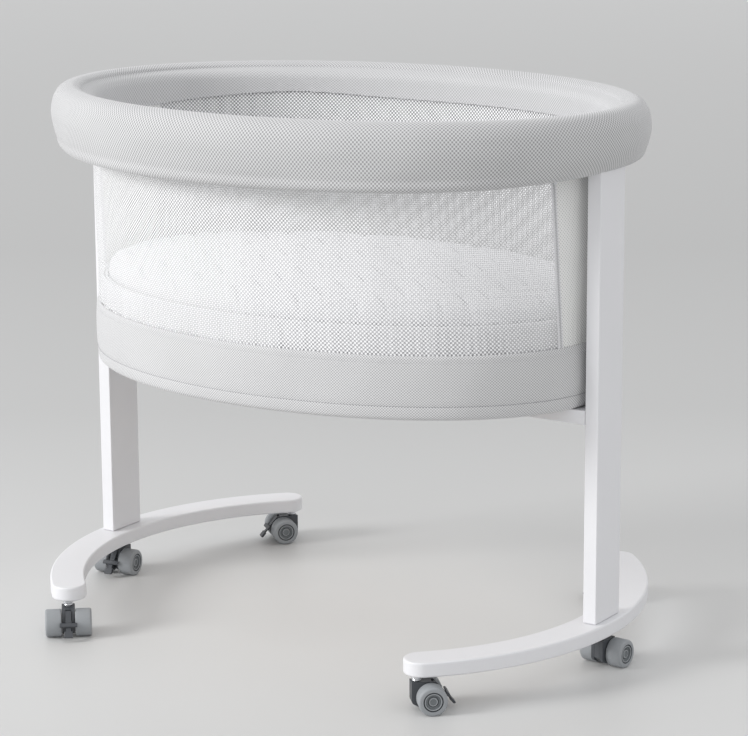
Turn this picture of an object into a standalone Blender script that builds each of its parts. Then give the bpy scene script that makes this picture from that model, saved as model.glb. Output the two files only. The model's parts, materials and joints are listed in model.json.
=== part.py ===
"""Oval bedside crib on two curved feet with six braked twin-wheel casters.

The crib stands on +Z up, its length along +X and its zipped front towards -Y. The origin is on
the floor, under the middle of the crib. All sizes are in metres.
"""
import math

import bmesh
import bpy
from mathutils import Matrix, Vector

for old_object in list(bpy.data.objects):
    bpy.data.objects.remove(old_object, do_unlink=True)

# ------------------------------------------------------------------ driving dimensions
GAP = 0.0003                      # between faces that touch
CUT_THROUGH = 0.005               # how far a cutter runs past the face it opens

RIM_HALF_LENGTH = 0.414           # centre line of the upper hoop
RIM_HALF_WIDTH = 0.292
RIM_HOOP_RADIUS = 0.008
END_LEAN = 0.003                  # how far the net wall leans out from the band to the rim, at the ends
SIDE_LEAN = 0.020
NET_TOP_INSET = 0.005             # net wall in from the upper hoop's centre line
NET_THICKNESS = 0.001
SEAM_ANGLE_TOP = math.radians(16.7)      # front seams, measured from the crib's length
SEAM_ANGLE_BOTTOM = math.radians(13.4)
REAR_SEAM_ANGLE = math.radians(15.0)

BOLSTER_CREST = 0.796             # highest point of the crib
BOLSTER_HEIGHT = 0.087
BOLSTER_REACH = 0.054             # outer face beyond the upper hoop's centre line
BOLSTER_HOOP_GAP = 0.0005         # between the bolster's inner face and the upper hoop
POCKET_CLEARANCE = 0.0005         # round each post top, inside the bolster
CREST_OVER_HOOP = 0.019           # bolster crest above the upper hoop's centre line
POST_OVER_HOOP = 0.002            # post top above the same line
SLIDER_UNDER_HOOP = 0.050         # closed zip slider below it, tucked up behind the bolster

BASKET_BOTTOM = 0.3815            # underside of the lower band
BAND_HEIGHT = 0.0915
BAND_SKIN = 0.0012
BAND_BULGE = 0.005
BAND_TURN_IN = 0.018              # how far the band reaches in under the base hoop
BASE_HOOP_RADIUS = 0.010
BASE_BOARD_THICKNESS = 0.012
MATTRESS_THICKNESS = 0.080
QUILT_THICKNESS = 0.048
BEDDING_INSET = 0.012             # bedding edge in from the net wall
BEDDING_EDGE_ROUND = 0.012

POST_THICKNESS = 0.021
POST_WIDTH = 0.069
POST_HOOP_GAP = 0.0015            # between the upper hoop and the post
BOARD_EDGE_ROUND = 0.001
CROSSBAR_THICKNESS = 0.0205
DOWEL_RADIUS = 0.004
DOWEL_CLEARANCE = 0.00035
DOWEL_IN_POST = 0.013
DOWEL_IN_BAR = 0.020

FOOT_THICKNESS = 0.0215
FOOT_WIDTH = 0.051
FOOT_ARC_RADIUS = 0.388           # centre line of the curved board
FOOT_HALF_ANGLE = math.radians(46.2)
FOOT_SHIFT = 0.004                # the foot's widest point lies this far in from the post's middle
FOOT_EDGE_ROUND = 0.0025
CASTER_END_SHIFT = 0.008          # end casters beyond the middles of the foot's round ends
CASTER_END_OUT = 0.003            # and out from its centre line
CASTER_MID_SHIFT = 0.003          # middle casters out from the foot's widest point

ZIP_WIDTH = 0.0085
ZIP_THICKNESS = 0.0016
SLIDER_WIDTH = 0.008
SLIDER_LENGTH = 0.012
SLIDER_THICKNESS = 0.0035
SLIDER_GAP = 0.0005               # clear of the zip's teeth all the way down
PULL_WIDTH = 0.005
PULL_LENGTH = 0.018
PULL_THICKNESS = 0.0012

BRACKET_WIDTH = 0.036
BRACKET_DROP = 0.028              # below the post top
BRACKET_NET_GAP = 0.001

WHEEL_RADIUS = 0.0206
WHEEL_WIDTH = 0.0238
WHEEL_SIDES = 24                  # one flat side rests on the floor
WHEEL_TRACK_GAP = 0.0206          # between the two wheels of a caster
WHEEL_HUB_RIM = 0.007             # flat ring of the outer face, round the recess
WHEEL_RECESS_DEPTH = 0.0033
WHEEL_TREAD_ROUND = 0.0015
WHEEL_BORE_CLEARANCE = 0.0003
AXLE_RADIUS = 0.003
AXLE_END_GAP = 0.0005             # axle end short of the wheel's recessed face
CASTER_TRAIL = 0.018              # wheel axle behind the swivel axis
FORK_OVER_WHEEL = 0.0003          # fork top above the wheels' tops
FORK_UNDERSIDE = 0.005            # above the floor
FORK_BACK = -0.0085               # the fork's upright wall, ahead of the swivel axis
FORK_NOSE = 0.013                 # the fork's far side, beyond the axle
FORK_SIDE_GAP = 0.0004            # between fork and wheel
STEM_NECK = 0.003                 # bare stem between the fork and the collar
STEM_RADIUS = 0.004
STEM_CLEARANCE = 0.0003
STEM_IN_FORK = 0.010
STEM_IN_FOOT = 0.018
COLLAR_RADIUS = 0.0075
COLLAR_HEIGHT = 0.007
LEVER_WIDTH = 0.012
LEVER_PIVOT_RADIUS = 0.003
LEVER_PIVOT_REACH = 0.0105        # the brake lever's pivot beyond the axle
LEVER_PIVOT_DROP = 0.009          # and below the fork's top
LEVER_TIP_REACH = 0.0130          # lever tip beyond the wheels' back
LEVER_TIP_HEIGHT = 0.0095
LEVER_THICKNESS = 0.003
LEVER_SEAT_GAP = 0.0004

# Which way each caster trails at rest, in degrees from +X.
CASTER_HEADINGS = {
    "front_left": -50.5,
    "mid_left": -80.0,
    "rear_left": -130.0,
    "front_right": 42.0,
    "mid_right": 86.0,
    "rear_right": 205.0,
}

RING_STEPS = 48
ROUND_SIDES = 12

# ------------------------------------------------------------------ sizes that follow
BASE_HALF_LENGTH = RIM_HALF_LENGTH - END_LEAN
BASE_HALF_WIDTH = RIM_HALF_WIDTH - SIDE_LEAN
BASE_OVAL = (BASE_HALF_LENGTH, BASE_HALF_WIDTH)
RIM_OVAL = (RIM_HALF_LENGTH, RIM_HALF_WIDTH)
POST_CENTRE = RIM_HALF_LENGTH + RIM_HOOP_RADIUS + POST_HOOP_GAP + POST_THICKNESS / 2
FOOT_APEX = POST_CENTRE - FOOT_SHIFT
RIM_HOOP_HEIGHT = BOLSTER_CREST - CREST_OVER_HOOP
POST_TOP = RIM_HOOP_HEIGHT + POST_OVER_HOOP
SLIDER_HEIGHT = RIM_HOOP_HEIGHT - SLIDER_UNDER_HOOP
BAND_TOP = BASKET_BOTTOM + BAND_HEIGHT
WHEEL_RECESS_RADIUS = WHEEL_RADIUS - WHEEL_HUB_RIM
FORK_TOP = 2 * WHEEL_RADIUS + FORK_OVER_WHEEL
COLLAR_UNDERSIDE = FORK_TOP + STEM_NECK
FOOT_UNDERSIDE = COLLAR_UNDERSIDE + COLLAR_HEIGHT
FOOT_TOP = FOOT_UNDERSIDE + FOOT_THICKNESS
CROSSBAR_TOP = BASKET_BOTTOM - GAP
BASE_HOOP_HEIGHT = BASKET_BOTTOM + BAND_SKIN + GAP + BASE_HOOP_RADIUS
BASE_HOOP_OFFSET = -BAND_SKIN - GAP - BASE_HOOP_RADIUS
BOARD_BOTTOM = BASE_HOOP_HEIGHT + BASE_HOOP_RADIUS + GAP
BOARD_TOP = BOARD_BOTTOM + BASE_BOARD_THICKNESS
MATTRESS_BOTTOM = BOARD_TOP + GAP
MATTRESS_TOP = MATTRESS_BOTTOM + MATTRESS_THICKNESS
QUILT_BOTTOM = MATTRESS_TOP + GAP
NET_BOTTOM = BAND_TOP + GAP
NET_TOP = RIM_HOOP_HEIGHT - GAP - math.sqrt(RIM_HOOP_RADIUS ** 2 - (NET_TOP_INSET - NET_THICKNESS) ** 2)
AXLE_HEIGHT = WHEEL_RADIUS * math.cos(math.pi / WHEEL_SIDES)


# ------------------------------------------------------------------ materials
def material(name, colour, roughness, metallic=0.0):
    made = bpy.data.materials.new(name)
    made.use_nodes = True
    shader = made.node_tree.nodes["Principled BSDF"]
    shader.inputs["Base Color"].default_value = (*colour, 1.0)
    shader.inputs["Roughness"].default_value = roughness
    shader.inputs["Metallic"].default_value = metallic
    return made


WHITE_PAINT = material("white_paint", (0.86, 0.86, 0.88), 0.35)
RAW_WOOD = material("raw_wood", (0.62, 0.47, 0.31), 0.7)
HOOP_METAL = material("hoop_metal", (0.55, 0.56, 0.57), 0.35, 1.0)
ZINC = material("zinc", (0.70, 0.71, 0.72), 0.3, 1.0)
DARK_PLASTIC = material("dark_plastic", (0.07, 0.075, 0.085), 0.45)
WHEEL_GREY = material("wheel_grey", (0.36, 0.39, 0.41), 0.5)
LIGHT_MESH = material("light_mesh", (0.72, 0.72, 0.73), 0.9)
BAND_FABRIC = material("band_fabric", (0.50, 0.50, 0.51), 0.95)
NET_FABRIC = material("net_fabric", (0.80, 0.80, 0.80), 0.9)
BED_COTTON = material("bed_cotton", (0.86, 0.86, 0.87), 0.95)
ZIP_TAPE = material("zip_tape", (0.83, 0.83, 0.83), 0.6)
BRACKET_PLASTIC = material("bracket_plastic", (0.75, 0.75, 0.76), 0.5)


# ------------------------------------------------------------------ mesh helpers
def add_object(name, bm, finish, place=Matrix.Identity(4), smooth_angle=35.0):
    """Turn a bmesh into a named object with outward faces, one material and smooth round sides."""
    bmesh.ops.recalc_face_normals(bm, faces=bm.faces)
    mesh = bpy.data.meshes.new(name)
    bm.to_mesh(mesh)
    bm.free()
    mesh.materials.append(finish)
    mesh.shade_smooth()
    mesh.set_sharp_from_angle(angle=math.radians(smooth_angle))
    made = bpy.data.objects.new(name, mesh)
    made.matrix_world = place
    bpy.context.scene.collection.objects.link(made)
    return made


def loft(sections, closed):
    """Skin a row of equal closed sections: a ring when closed is set, else a bar with two end caps."""
    bm = bmesh.new()
    rows = [[bm.verts.new(point) for point in section] for section in sections]
    count = len(rows[0])
    pairs = list(zip(rows, rows[1:]))
    if closed:
        pairs.append((rows[-1], rows[0]))
    else:
        bm.faces.new(rows[0])
        bm.faces.new(list(reversed(rows[-1])))
    for near, far in pairs:
        for i in range(count):
            j = (i + 1) % count
            bm.faces.new((near[i], near[j], far[j], far[i]))
    return bm


def prism(outline, bottom, top):
    return loft([[(x, y, z) for x, y in outline] for z in (bottom, top)], closed=False)


def box(low, high):
    outline = [(low[0], low[1]), (high[0], low[1]), (high[0], high[1]), (low[0], high[1])]
    return prism(outline, low[2], high[2])


def turned(profile, sides):
    """Turn a closed (radius, height) profile about Z; radii on the axis are left out of the profile."""
    sections = []
    for step in range(sides):
        angle = 2 * math.pi * (step + 0.5) / sides
        sections.append([(r * math.cos(angle), r * math.sin(angle), z) for r, z in profile])
    return loft(sections, closed=True)


def stacked_discs(levels, sides):
    """A solid of round levels, each a (radius, height), closed flat at both ends."""
    sections = []
    for radius, height in levels:
        angles = [2 * math.pi * (step + 0.5) / sides for step in range(sides)]
        sections.append([(radius * math.cos(a), radius * math.sin(a), height) for a in angles])
    return loft(sections, closed=False)


def add_cutter(name, bm, place=Matrix.Identity(4)):
    cutter = add_object(name, bm, WHITE_PAINT, place)
    cutter.hide_render = True
    cutter.display_type = "WIRE"
    return cutter


def cut(target, cutter):
    modifier = target.modifiers.new("cut_" + cutter.name, "BOOLEAN")
    modifier.operation = "DIFFERENCE"
    modifier.solver = "EXACT"
    modifier.object = cutter


def round_edges(target, width, segments):
    modifier = target.modifiers.new("round_edges", "BEVEL")
    modifier.width = width
    modifier.segments = segments
    modifier.limit_method = "ANGLE"
    modifier.angle_limit = math.radians(60)


# ------------------------------------------------------------------ oval helpers
def oval_point(oval, angle, offset=0.0):
    """A point on an oval of (half length, half width), moved outwards along its normal."""
    half_length, half_width = oval
    across = Vector((half_width * math.cos(angle), half_length * math.sin(angle))).normalized()
    return Vector((half_length * math.cos(angle), half_width * math.sin(angle))) + offset * across


def oval_ring(oval, section, steps=RING_STEPS):
    """Sweep a closed section of (offset, height) round an oval."""
    rows = []
    for step in range(steps):
        angle = 2 * math.pi * step / steps
        rows.append([(*oval_point(oval, angle, offset), height) for offset, height in section])
    return loft(rows, closed=True)


def tube_section(offset, height, radius, sides=8):
    angles = [2 * math.pi * step / sides for step in range(sides)]
    return [(offset + radius * math.cos(a), height + radius * math.sin(a)) for a in angles]


def oval_pad(oval, levels, steps=RING_STEPS):
    """A flat oval pad from (offset, height) levels, bottom first."""
    rows = []
    for offset, height in levels:
        angles = [2 * math.pi * step / steps for step in range(steps)]
        rows.append([(*oval_point(oval, angle, offset), height) for angle in angles])
    return loft(rows, closed=False)


def wall_point(angle, height, offset=0.0):
    """A point on the net wall, which leans from the band's oval out to the upper hoop's."""
    share = (height - BAND_TOP) / (NET_TOP - BAND_TOP)
    low = oval_point(BASE_OVAL, angle, offset)
    high = oval_point(RIM_OVAL, angle, offset - NET_TOP_INSET + NET_THICKNESS)
    return Vector((*low.lerp(high, share), height))


def seam_angle(height):
    """The front seams lean: their angle from the crib's length grows with height."""
    share = (height - BAND_TOP) / (NET_TOP - BAND_TOP)
    return SEAM_ANGLE_BOTTOM + share * (SEAM_ANGLE_TOP - SEAM_ANGLE_BOTTOM)


def wall_speed(angle):
    """Length of wall passed per radian of angle, at the band."""
    return math.hypot(BASE_HALF_LENGTH * math.sin(angle), BASE_HALF_WIDTH * math.cos(angle))


ZIP_HALF_ANGLE = ZIP_WIDTH / 2 / wall_speed(SEAM_ANGLE_BOTTOM)
EDGE_ANGLE = GAP / wall_speed(SEAM_ANGLE_BOTTOM)


def wall_panel(start, end, steps, inner, outer):
    """A strip of wall between two edges, each a function from height to angle."""
    rows = []
    for step in range(steps + 1):
        row = []
        for offset, height in ((inner, NET_BOTTOM), (outer, NET_BOTTOM), (outer, NET_TOP), (inner, NET_TOP)):
            angle = start(height) + (end(height) - start(height)) * step / steps
            row.append(wall_point(angle, height, offset))
        rows.append(row)
    return loft(rows, closed=False)


# ------------------------------------------------------------------ feet, posts and crossbar
def foot_outline(side):
    """A curved board of even width with half-round ends, bulging away from the crib."""
    centre = Vector((side * (FOOT_APEX - FOOT_ARC_RADIUS), 0.0))
    half_width = FOOT_WIDTH / 2
    arc_steps = 22
    cap_steps = 8
    points = []

    def add_arc(middle, radius, first, last, steps):
        for step in range(steps + 1):
            angle = first + (last - first) * step / steps
            points.append(middle + radius * Vector((side * math.cos(angle), math.sin(angle))))

    to_end = Vector((side * math.cos(FOOT_HALF_ANGLE), math.sin(FOOT_HALF_ANGLE)))
    end_rear = centre + FOOT_ARC_RADIUS * to_end
    end_front = Vector((end_rear.x, -end_rear.y))
    half_turn = math.pi / cap_steps
    add_arc(centre, FOOT_ARC_RADIUS + half_width, -FOOT_HALF_ANGLE, FOOT_HALF_ANGLE, arc_steps)
    add_arc(end_rear, half_width, FOOT_HALF_ANGLE + half_turn, FOOT_HALF_ANGLE + math.pi - half_turn,
            cap_steps - 2)
    add_arc(centre, FOOT_ARC_RADIUS - half_width, FOOT_HALF_ANGLE, -FOOT_HALF_ANGLE, arc_steps)
    add_arc(end_front, half_width, -FOOT_HALF_ANGLE - math.pi + half_turn, -FOOT_HALF_ANGLE - half_turn,
            cap_steps - 2)
    return [tuple(point) for point in points]


def caster_place(name):
    """The swivel axis of a caster on its foot, as (x, y)."""
    along, side_name = name.split("_")
    side = -1 if side_name == "left" else 1
    if along == "mid":
        return Vector((side * (FOOT_APEX + CASTER_MID_SHIFT), 0.0))
    angle = FOOT_HALF_ANGLE + CASTER_END_SHIFT / FOOT_ARC_RADIUS
    radius = FOOT_ARC_RADIUS + CASTER_END_OUT
    x = side * (FOOT_APEX - FOOT_ARC_RADIUS + radius * math.cos(angle))
    return Vector((x, {"front": -1, "rear": 1}[along] * radius * math.sin(angle)))


def add_foot(side, side_name):
    foot = add_object("foot_" + side_name, prism(foot_outline(side), FOOT_UNDERSIDE, FOOT_TOP), WHITE_PAINT)
    round_edges(foot, FOOT_EDGE_ROUND, 2)
    bore = STEM_RADIUS + STEM_CLEARANCE
    levels = [(bore, FOOT_UNDERSIDE - CUT_THROUGH), (bore, FOOT_UNDERSIDE + STEM_IN_FOOT + GAP)]
    for along in ("front", "mid", "rear"):
        x, y = caster_place(along + "_" + side_name)
        hole = stacked_discs(levels, ROUND_SIDES)
        cut(foot, add_cutter("bore_" + along + "_" + side_name, hole, Matrix.Translation((x, y, 0.0))))


def dowel_place(side):
    """Dowels lie along X through the joint between crossbar and post."""
    joint_x = side * (POST_CENTRE - POST_THICKNESS / 2)
    return Matrix.Translation((joint_x, 0.0, CROSSBAR_TOP - CROSSBAR_THICKNESS / 2)) @ Matrix.Rotation(
        side * math.pi / 2, 4, "Y")


def add_post(side, side_name):
    inner = POST_CENTRE - POST_THICKNESS / 2
    outer = POST_CENTRE + POST_THICKNESS / 2
    low = (min(side * inner, side * outer), -POST_WIDTH / 2, FOOT_TOP + GAP)
    high = (max(side * inner, side * outer), POST_WIDTH / 2, POST_TOP)
    post = add_object("post_" + side_name, box(low, high), WHITE_PAINT)
    round_edges(post, BOARD_EDGE_ROUND, 1)
    hole_radius = DOWEL_RADIUS + DOWEL_CLEARANCE
    hole = stacked_discs([(hole_radius, -DOWEL_IN_BAR), (hole_radius, DOWEL_IN_POST + GAP)], ROUND_SIDES)
    cut(post, add_cutter("post_hole_" + side_name, hole, dowel_place(side)))


def add_crossbar():
    half_length = POST_CENTRE - POST_THICKNESS / 2 - GAP
    half_width = POST_WIDTH / 2
    bar = add_object("crossbar", box((-half_length, -half_width, CROSSBAR_TOP - CROSSBAR_THICKNESS),
                                     (half_length, half_width, CROSSBAR_TOP)), WHITE_PAINT)
    round_edges(bar, BOARD_EDGE_ROUND, 1)
    hole_radius = DOWEL_RADIUS + DOWEL_CLEARANCE
    for side, side_name in ((-1, "left"), (1, "right")):
        hole = stacked_discs([(hole_radius, -DOWEL_IN_BAR - GAP), (hole_radius, DOWEL_IN_POST)], ROUND_SIDES)
        cut(bar, add_cutter("bar_hole_" + side_name, hole, dowel_place(side)))


def add_dowel(side, side_name):
    dowel = stacked_discs([(DOWEL_RADIUS, -DOWEL_IN_BAR), (DOWEL_RADIUS, DOWEL_IN_POST)], ROUND_SIDES)
    add_object("crossbar_dowel_" + side_name, dowel, RAW_WOOD, dowel_place(side))


# ------------------------------------------------------------------ basket
def add_hoops():
    rim = tube_section(0.0, RIM_HOOP_HEIGHT, RIM_HOOP_RADIUS)
    add_object("rim_hoop", oval_ring(RIM_OVAL, rim), HOOP_METAL, smooth_angle=60)
    base = tube_section(BASE_HOOP_OFFSET, BASE_HOOP_HEIGHT, BASE_HOOP_RADIUS)
    add_object("base_hoop", oval_ring(BASE_OVAL, base), HOOP_METAL, smooth_angle=60)


def add_hoop_bracket(side, side_name):
    """A block on the post's inner face whose upper edge cradles the upper hoop."""
    outer = POST_CENTRE - POST_THICKNESS / 2 - GAP
    bottom = POST_TOP - BRACKET_DROP
    inner = wall_point(0.0, bottom).x + BRACKET_NET_GAP
    low = (min(side * inner, side * outer), -BRACKET_WIDTH / 2, bottom)
    high = (max(side * inner, side * outer), BRACKET_WIDTH / 2, POST_TOP)
    bracket = add_object("hoop_bracket_" + side_name, box(low, high), BRACKET_PLASTIC)
    seat = tube_section(0.0, RIM_HOOP_HEIGHT, RIM_HOOP_RADIUS + GAP)
    cut(bracket, add_cutter("hoop_seat_" + side_name, oval_ring(RIM_OVAL, seat)))
    inside = tube_section(-RIM_HOOP_RADIUS, POST_TOP, RIM_HOOP_RADIUS)
    cut(bracket, add_cutter("hoop_mouth_" + side_name, oval_ring(RIM_OVAL, inside)))


def add_bolster():
    """The padded rim: a fat roll outside the upper hoop, pinched by a seam above a small lower roll."""
    bottom = BOLSTER_CREST - BOLSTER_HEIGHT
    inner = RIM_HOOP_RADIUS + BOLSTER_HOOP_GAP
    section = [
        (inner, BOLSTER_CREST - 0.009),
        (inner + 0.007, BOLSTER_CREST - 0.003),
        (BOLSTER_REACH / 2, BOLSTER_CREST),
        (BOLSTER_REACH - 0.013, BOLSTER_CREST - 0.004),
        (BOLSTER_REACH - 0.003, BOLSTER_CREST - 0.017),
        (BOLSTER_REACH, BOLSTER_CREST - 0.037),
        (BOLSTER_REACH - 0.003, BOLSTER_CREST - 0.059),
        (BOLSTER_REACH - 0.008, bottom + 0.015),
        (BOLSTER_REACH - 0.007, bottom + 0.006),
        (BOLSTER_REACH - 0.014, bottom),
        (BOLSTER_REACH - 0.028, bottom),
        (inner + 0.004, bottom + 0.008),
        (inner, bottom + 0.025),
    ]
    bolster = add_object("bolster", oval_ring(RIM_OVAL, section), LIGHT_MESH, smooth_angle=60)
    half_width = POST_WIDTH / 2 + POCKET_CLEARANCE
    post_outer = POST_CENTRE + POST_THICKNESS / 2 + POCKET_CLEARANCE
    for side, side_name in ((-1, "left"), (1, "right")):
        reach = sorted((side * (RIM_HALF_LENGTH - RIM_HOOP_RADIUS), side * post_outer))
        pocket = box((reach[0], -half_width, bottom - CUT_THROUGH),
                     (reach[1], half_width, POST_TOP + POCKET_CLEARANCE))
        cut(bolster, add_cutter("post_pocket_" + side_name, pocket))


def add_band():
    """The padded lower band: a bulging skin turned in under the base hoop."""
    middle = (BASKET_BOTTOM + BAND_TOP) / 2
    section = [
        (-BAND_TURN_IN, BASKET_BOTTOM),
        (-BAND_BULGE, BASKET_BOTTOM),
        (BAND_BULGE / 2, BASKET_BOTTOM + 0.008),
        (BAND_BULGE, middle),
        (2 * BAND_SKIN, BAND_TOP),
        (-BAND_SKIN, BAND_TOP),
        (-BAND_SKIN, BASKET_BOTTOM + BAND_SKIN + BASE_HOOP_RADIUS / 2),
        (-BAND_SKIN - GAP - 0.003, BASKET_BOTTOM + BAND_SKIN),
        (-BAND_TURN_IN, BASKET_BOTTOM + BAND_SKIN),
    ]
    add_object("lower_band", oval_ring(BASE_OVAL, section), BAND_FABRIC, smooth_angle=60)


def add_walls():
    """The four net walls: zipped front, solid-looking ends and see-through back."""
    right = math.tau
    left = math.pi

    def front_right(height):
        return right - seam_angle(height)

    def front_left(height):
        return left + seam_angle(height)

    def shifted(edge, by):
        return lambda height: edge(height) + by

    clear = ZIP_HALF_ANGLE + EDGE_ANGLE
    skins = (-NET_THICKNESS, 0.0)
    add_object("net_front", wall_panel(shifted(front_left, clear), shifted(front_right, -clear), 28, *skins),
               NET_FABRIC)
    add_object("end_panel_left", wall_panel(lambda height: left - REAR_SEAM_ANGLE + EDGE_ANGLE,
                                            shifted(front_left, -clear), 8, *skins), LIGHT_MESH)
    add_object("end_panel_right", wall_panel(shifted(front_right, clear),
                                             lambda height: right + REAR_SEAM_ANGLE - EDGE_ANGLE, 8, *skins),
               LIGHT_MESH)
    add_object("net_back", wall_panel(lambda height: REAR_SEAM_ANGLE, lambda height: left - REAR_SEAM_ANGLE,
                                      28, *skins), NET_FABRIC)
    zip_skins = (-ZIP_THICKNESS, NET_THICKNESS - GAP)
    for name, edge in (("zip_left", front_left), ("zip_right", front_right)):
        strip = wall_panel(shifted(edge, -ZIP_HALF_ANGLE), shifted(edge, ZIP_HALF_ANGLE), 1, *zip_skins)
        add_object(name, strip, ZIP_TAPE)


def zip_line(side):
    """Top and bottom of a zip's centre line on the outside of the wall, and the way the wall faces."""
    ends = []
    for height in (NET_TOP, NET_BOTTOM):
        angle = -seam_angle(height) if side > 0 else math.pi + seam_angle(height)
        ends.append(wall_point(angle, height, NET_THICKNESS - GAP))
    middle = (NET_TOP + NET_BOTTOM) / 2
    angle = -seam_angle(middle) if side > 0 else math.pi + seam_angle(middle)
    outward = wall_point(angle, middle, 1.0) - wall_point(angle, middle, 0.0)
    return ends[0], ends[1], outward.normalized()


def add_zip_slider(side, side_name):
    """A slider body with its pull tab, lying on the zip and pointing down it."""
    top, bottom, outward = zip_line(side)
    down = (bottom - top).normalized()
    outward = (outward - outward.dot(down) * down).normalized()
    across = outward.cross(down)
    centre = top.lerp(bottom, (top.z - SLIDER_HEIGHT) / (top.z - bottom.z))
    place = Matrix((across, down, outward)).transposed().to_4x4()
    place.translation = centre
    body_top = SLIDER_GAP + SLIDER_THICKNESS
    pull_end = SLIDER_LENGTH / 2 + PULL_LENGTH
    outline = [
        (-SLIDER_LENGTH / 2, SLIDER_GAP),
        (SLIDER_LENGTH / 2, SLIDER_GAP),
        (SLIDER_LENGTH / 2, body_top - PULL_THICKNESS),
        (pull_end, body_top - PULL_THICKNESS),
        (pull_end, body_top),
        (-SLIDER_LENGTH / 2, body_top),
    ]
    widths = [SLIDER_WIDTH, SLIDER_WIDTH, SLIDER_WIDTH, PULL_WIDTH, PULL_WIDTH, SLIDER_WIDTH]
    rows = []
    for sign in (-1, 1):
        rows.append([(sign * width / 2, y, z) for width, (y, z) in zip(widths, outline)])
    add_object("zip_slider_" + side_name, loft(rows, closed=False), ZINC, place)


def add_bed():
    inside = -BAND_SKIN - GAP
    board = oval_pad(BASE_OVAL, [(inside, BOARD_BOTTOM), (inside, BOARD_TOP)])
    add_object("base_board", board, RAW_WOOD)
    edge = -BEDDING_INSET
    soft = BEDDING_EDGE_ROUND
    top = QUILT_BOTTOM + QUILT_THICKNESS
    mattress = [(edge - soft / 2, MATTRESS_BOTTOM), (edge, MATTRESS_BOTTOM + soft),
                (edge, MATTRESS_TOP - soft), (edge - soft / 2, MATTRESS_TOP)]
    quilt = [(edge - soft / 2, QUILT_BOTTOM), (edge, QUILT_BOTTOM + soft),
             (edge, top - soft), (edge - soft, top)]
    for name, levels in (("mattress", mattress), ("quilt", quilt)):
        add_object(name, oval_pad(BASE_OVAL, levels), BED_COTTON, smooth_angle=60)


# ------------------------------------------------------------------ casters
FORK_HALF_WIDTH = WHEEL_TRACK_GAP / 2 - FORK_SIDE_GAP
# Both ends of the brake lever, as (along the trail, height).
LEVER_PIVOT = Vector((CASTER_TRAIL + LEVER_PIVOT_REACH, FORK_TOP - LEVER_PIVOT_DROP))
LEVER_TIP = Vector((CASTER_TRAIL + WHEEL_RADIUS + LEVER_TIP_REACH, LEVER_TIP_HEIGHT))


def upright(outline, half_width):
    """A plate standing in the plane of a caster's wheels, from (along, height) points."""
    return loft([[(along, y, height) for along, height in outline] for y in (-half_width, half_width)],
                closed=False)


def across_caster(along, height):
    """A frame whose Z runs along a caster's axle."""
    return Matrix.Translation((along, 0.0, height)) @ Matrix.Rotation(-math.pi / 2, 4, "X")


def add_stem(name, place):
    """Zinc stem: a pin down into the fork, a collar under the foot and a threaded end up into it."""
    levels = [
        (STEM_RADIUS, FORK_TOP - STEM_IN_FORK + GAP),
        (STEM_RADIUS, COLLAR_UNDERSIDE),
        (COLLAR_RADIUS, COLLAR_UNDERSIDE),
        (COLLAR_RADIUS, FOOT_UNDERSIDE - GAP),
        (STEM_RADIUS, FOOT_UNDERSIDE - GAP),
        (STEM_RADIUS, FOOT_UNDERSIDE + STEM_IN_FOOT),
    ]
    add_object(name + "_caster_stem", stacked_discs(levels, ROUND_SIDES), ZINC, place)


def add_fork(name, place):
    """The dark body between the two wheels, with bores for the stem and the axle and a lever seat."""
    chin = FORK_UNDERSIDE
    nose = CASTER_TRAIL + FORK_NOSE
    outline = [
        (FORK_BACK, FORK_TOP),
        (FORK_BACK, chin + 0.0085),
        (FORK_BACK + 0.0115, chin),
        (nose - 0.0070, chin),
        (nose, chin + 0.0120),
        (nose, FORK_TOP - 0.0165),
        (nose - 0.0070, FORK_TOP),
    ]
    fork = add_object(name + "_caster_fork", upright(outline, FORK_HALF_WIDTH), DARK_PLASTIC, place)
    bore = STEM_RADIUS + STEM_CLEARANCE
    stem_hole = stacked_discs([(bore, FORK_TOP - STEM_IN_FORK), (bore, FORK_TOP + CUT_THROUGH)], ROUND_SIDES)
    cut(fork, add_cutter("stem_hole_" + name, stem_hole, place))
    bore = AXLE_RADIUS + WHEEL_BORE_CLEARANCE
    axle_hole = stacked_discs([(bore, -2 * FORK_HALF_WIDTH), (bore, 2 * FORK_HALF_WIDTH)], ROUND_SIDES)
    cut(fork, add_cutter("axle_hole_" + name, axle_hole, place @ across_caster(CASTER_TRAIL, AXLE_HEIGHT)))
    seat = LEVER_PIVOT_RADIUS + LEVER_SEAT_GAP
    lever_seat = stacked_discs([(seat, -2 * FORK_HALF_WIDTH), (seat, 2 * FORK_HALF_WIDTH)], ROUND_SIDES)
    cut(fork, add_cutter("lever_seat_" + name, lever_seat, place @ across_caster(*LEVER_PIVOT)))


def add_lever(name, place):
    """Brake lever: a round pivot that rolls in the fork's seat, and a flat arm past the wheels."""
    slope = (LEVER_TIP - LEVER_PIVOT).normalized()
    out = Vector((-slope.y, slope.x))
    points = []
    arc_steps = 6
    for step in range(arc_steps + 1):
        angle = math.pi / 2 + math.pi * step / arc_steps
        turn = slope * math.cos(angle) + out * math.sin(angle)
        points.append(LEVER_PIVOT + LEVER_PIVOT_RADIUS * turn)
    face = LEVER_PIVOT_RADIUS
    points += [
        LEVER_PIVOT + slope * 0.002 + out * (face - LEVER_THICKNESS),
        LEVER_TIP + out * (face - LEVER_THICKNESS),
        LEVER_TIP + out * face,
    ]
    add_object(name + "_caster_brake_lever", upright([tuple(p) for p in points], LEVER_WIDTH / 2),
               DARK_PLASTIC, place)


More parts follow.
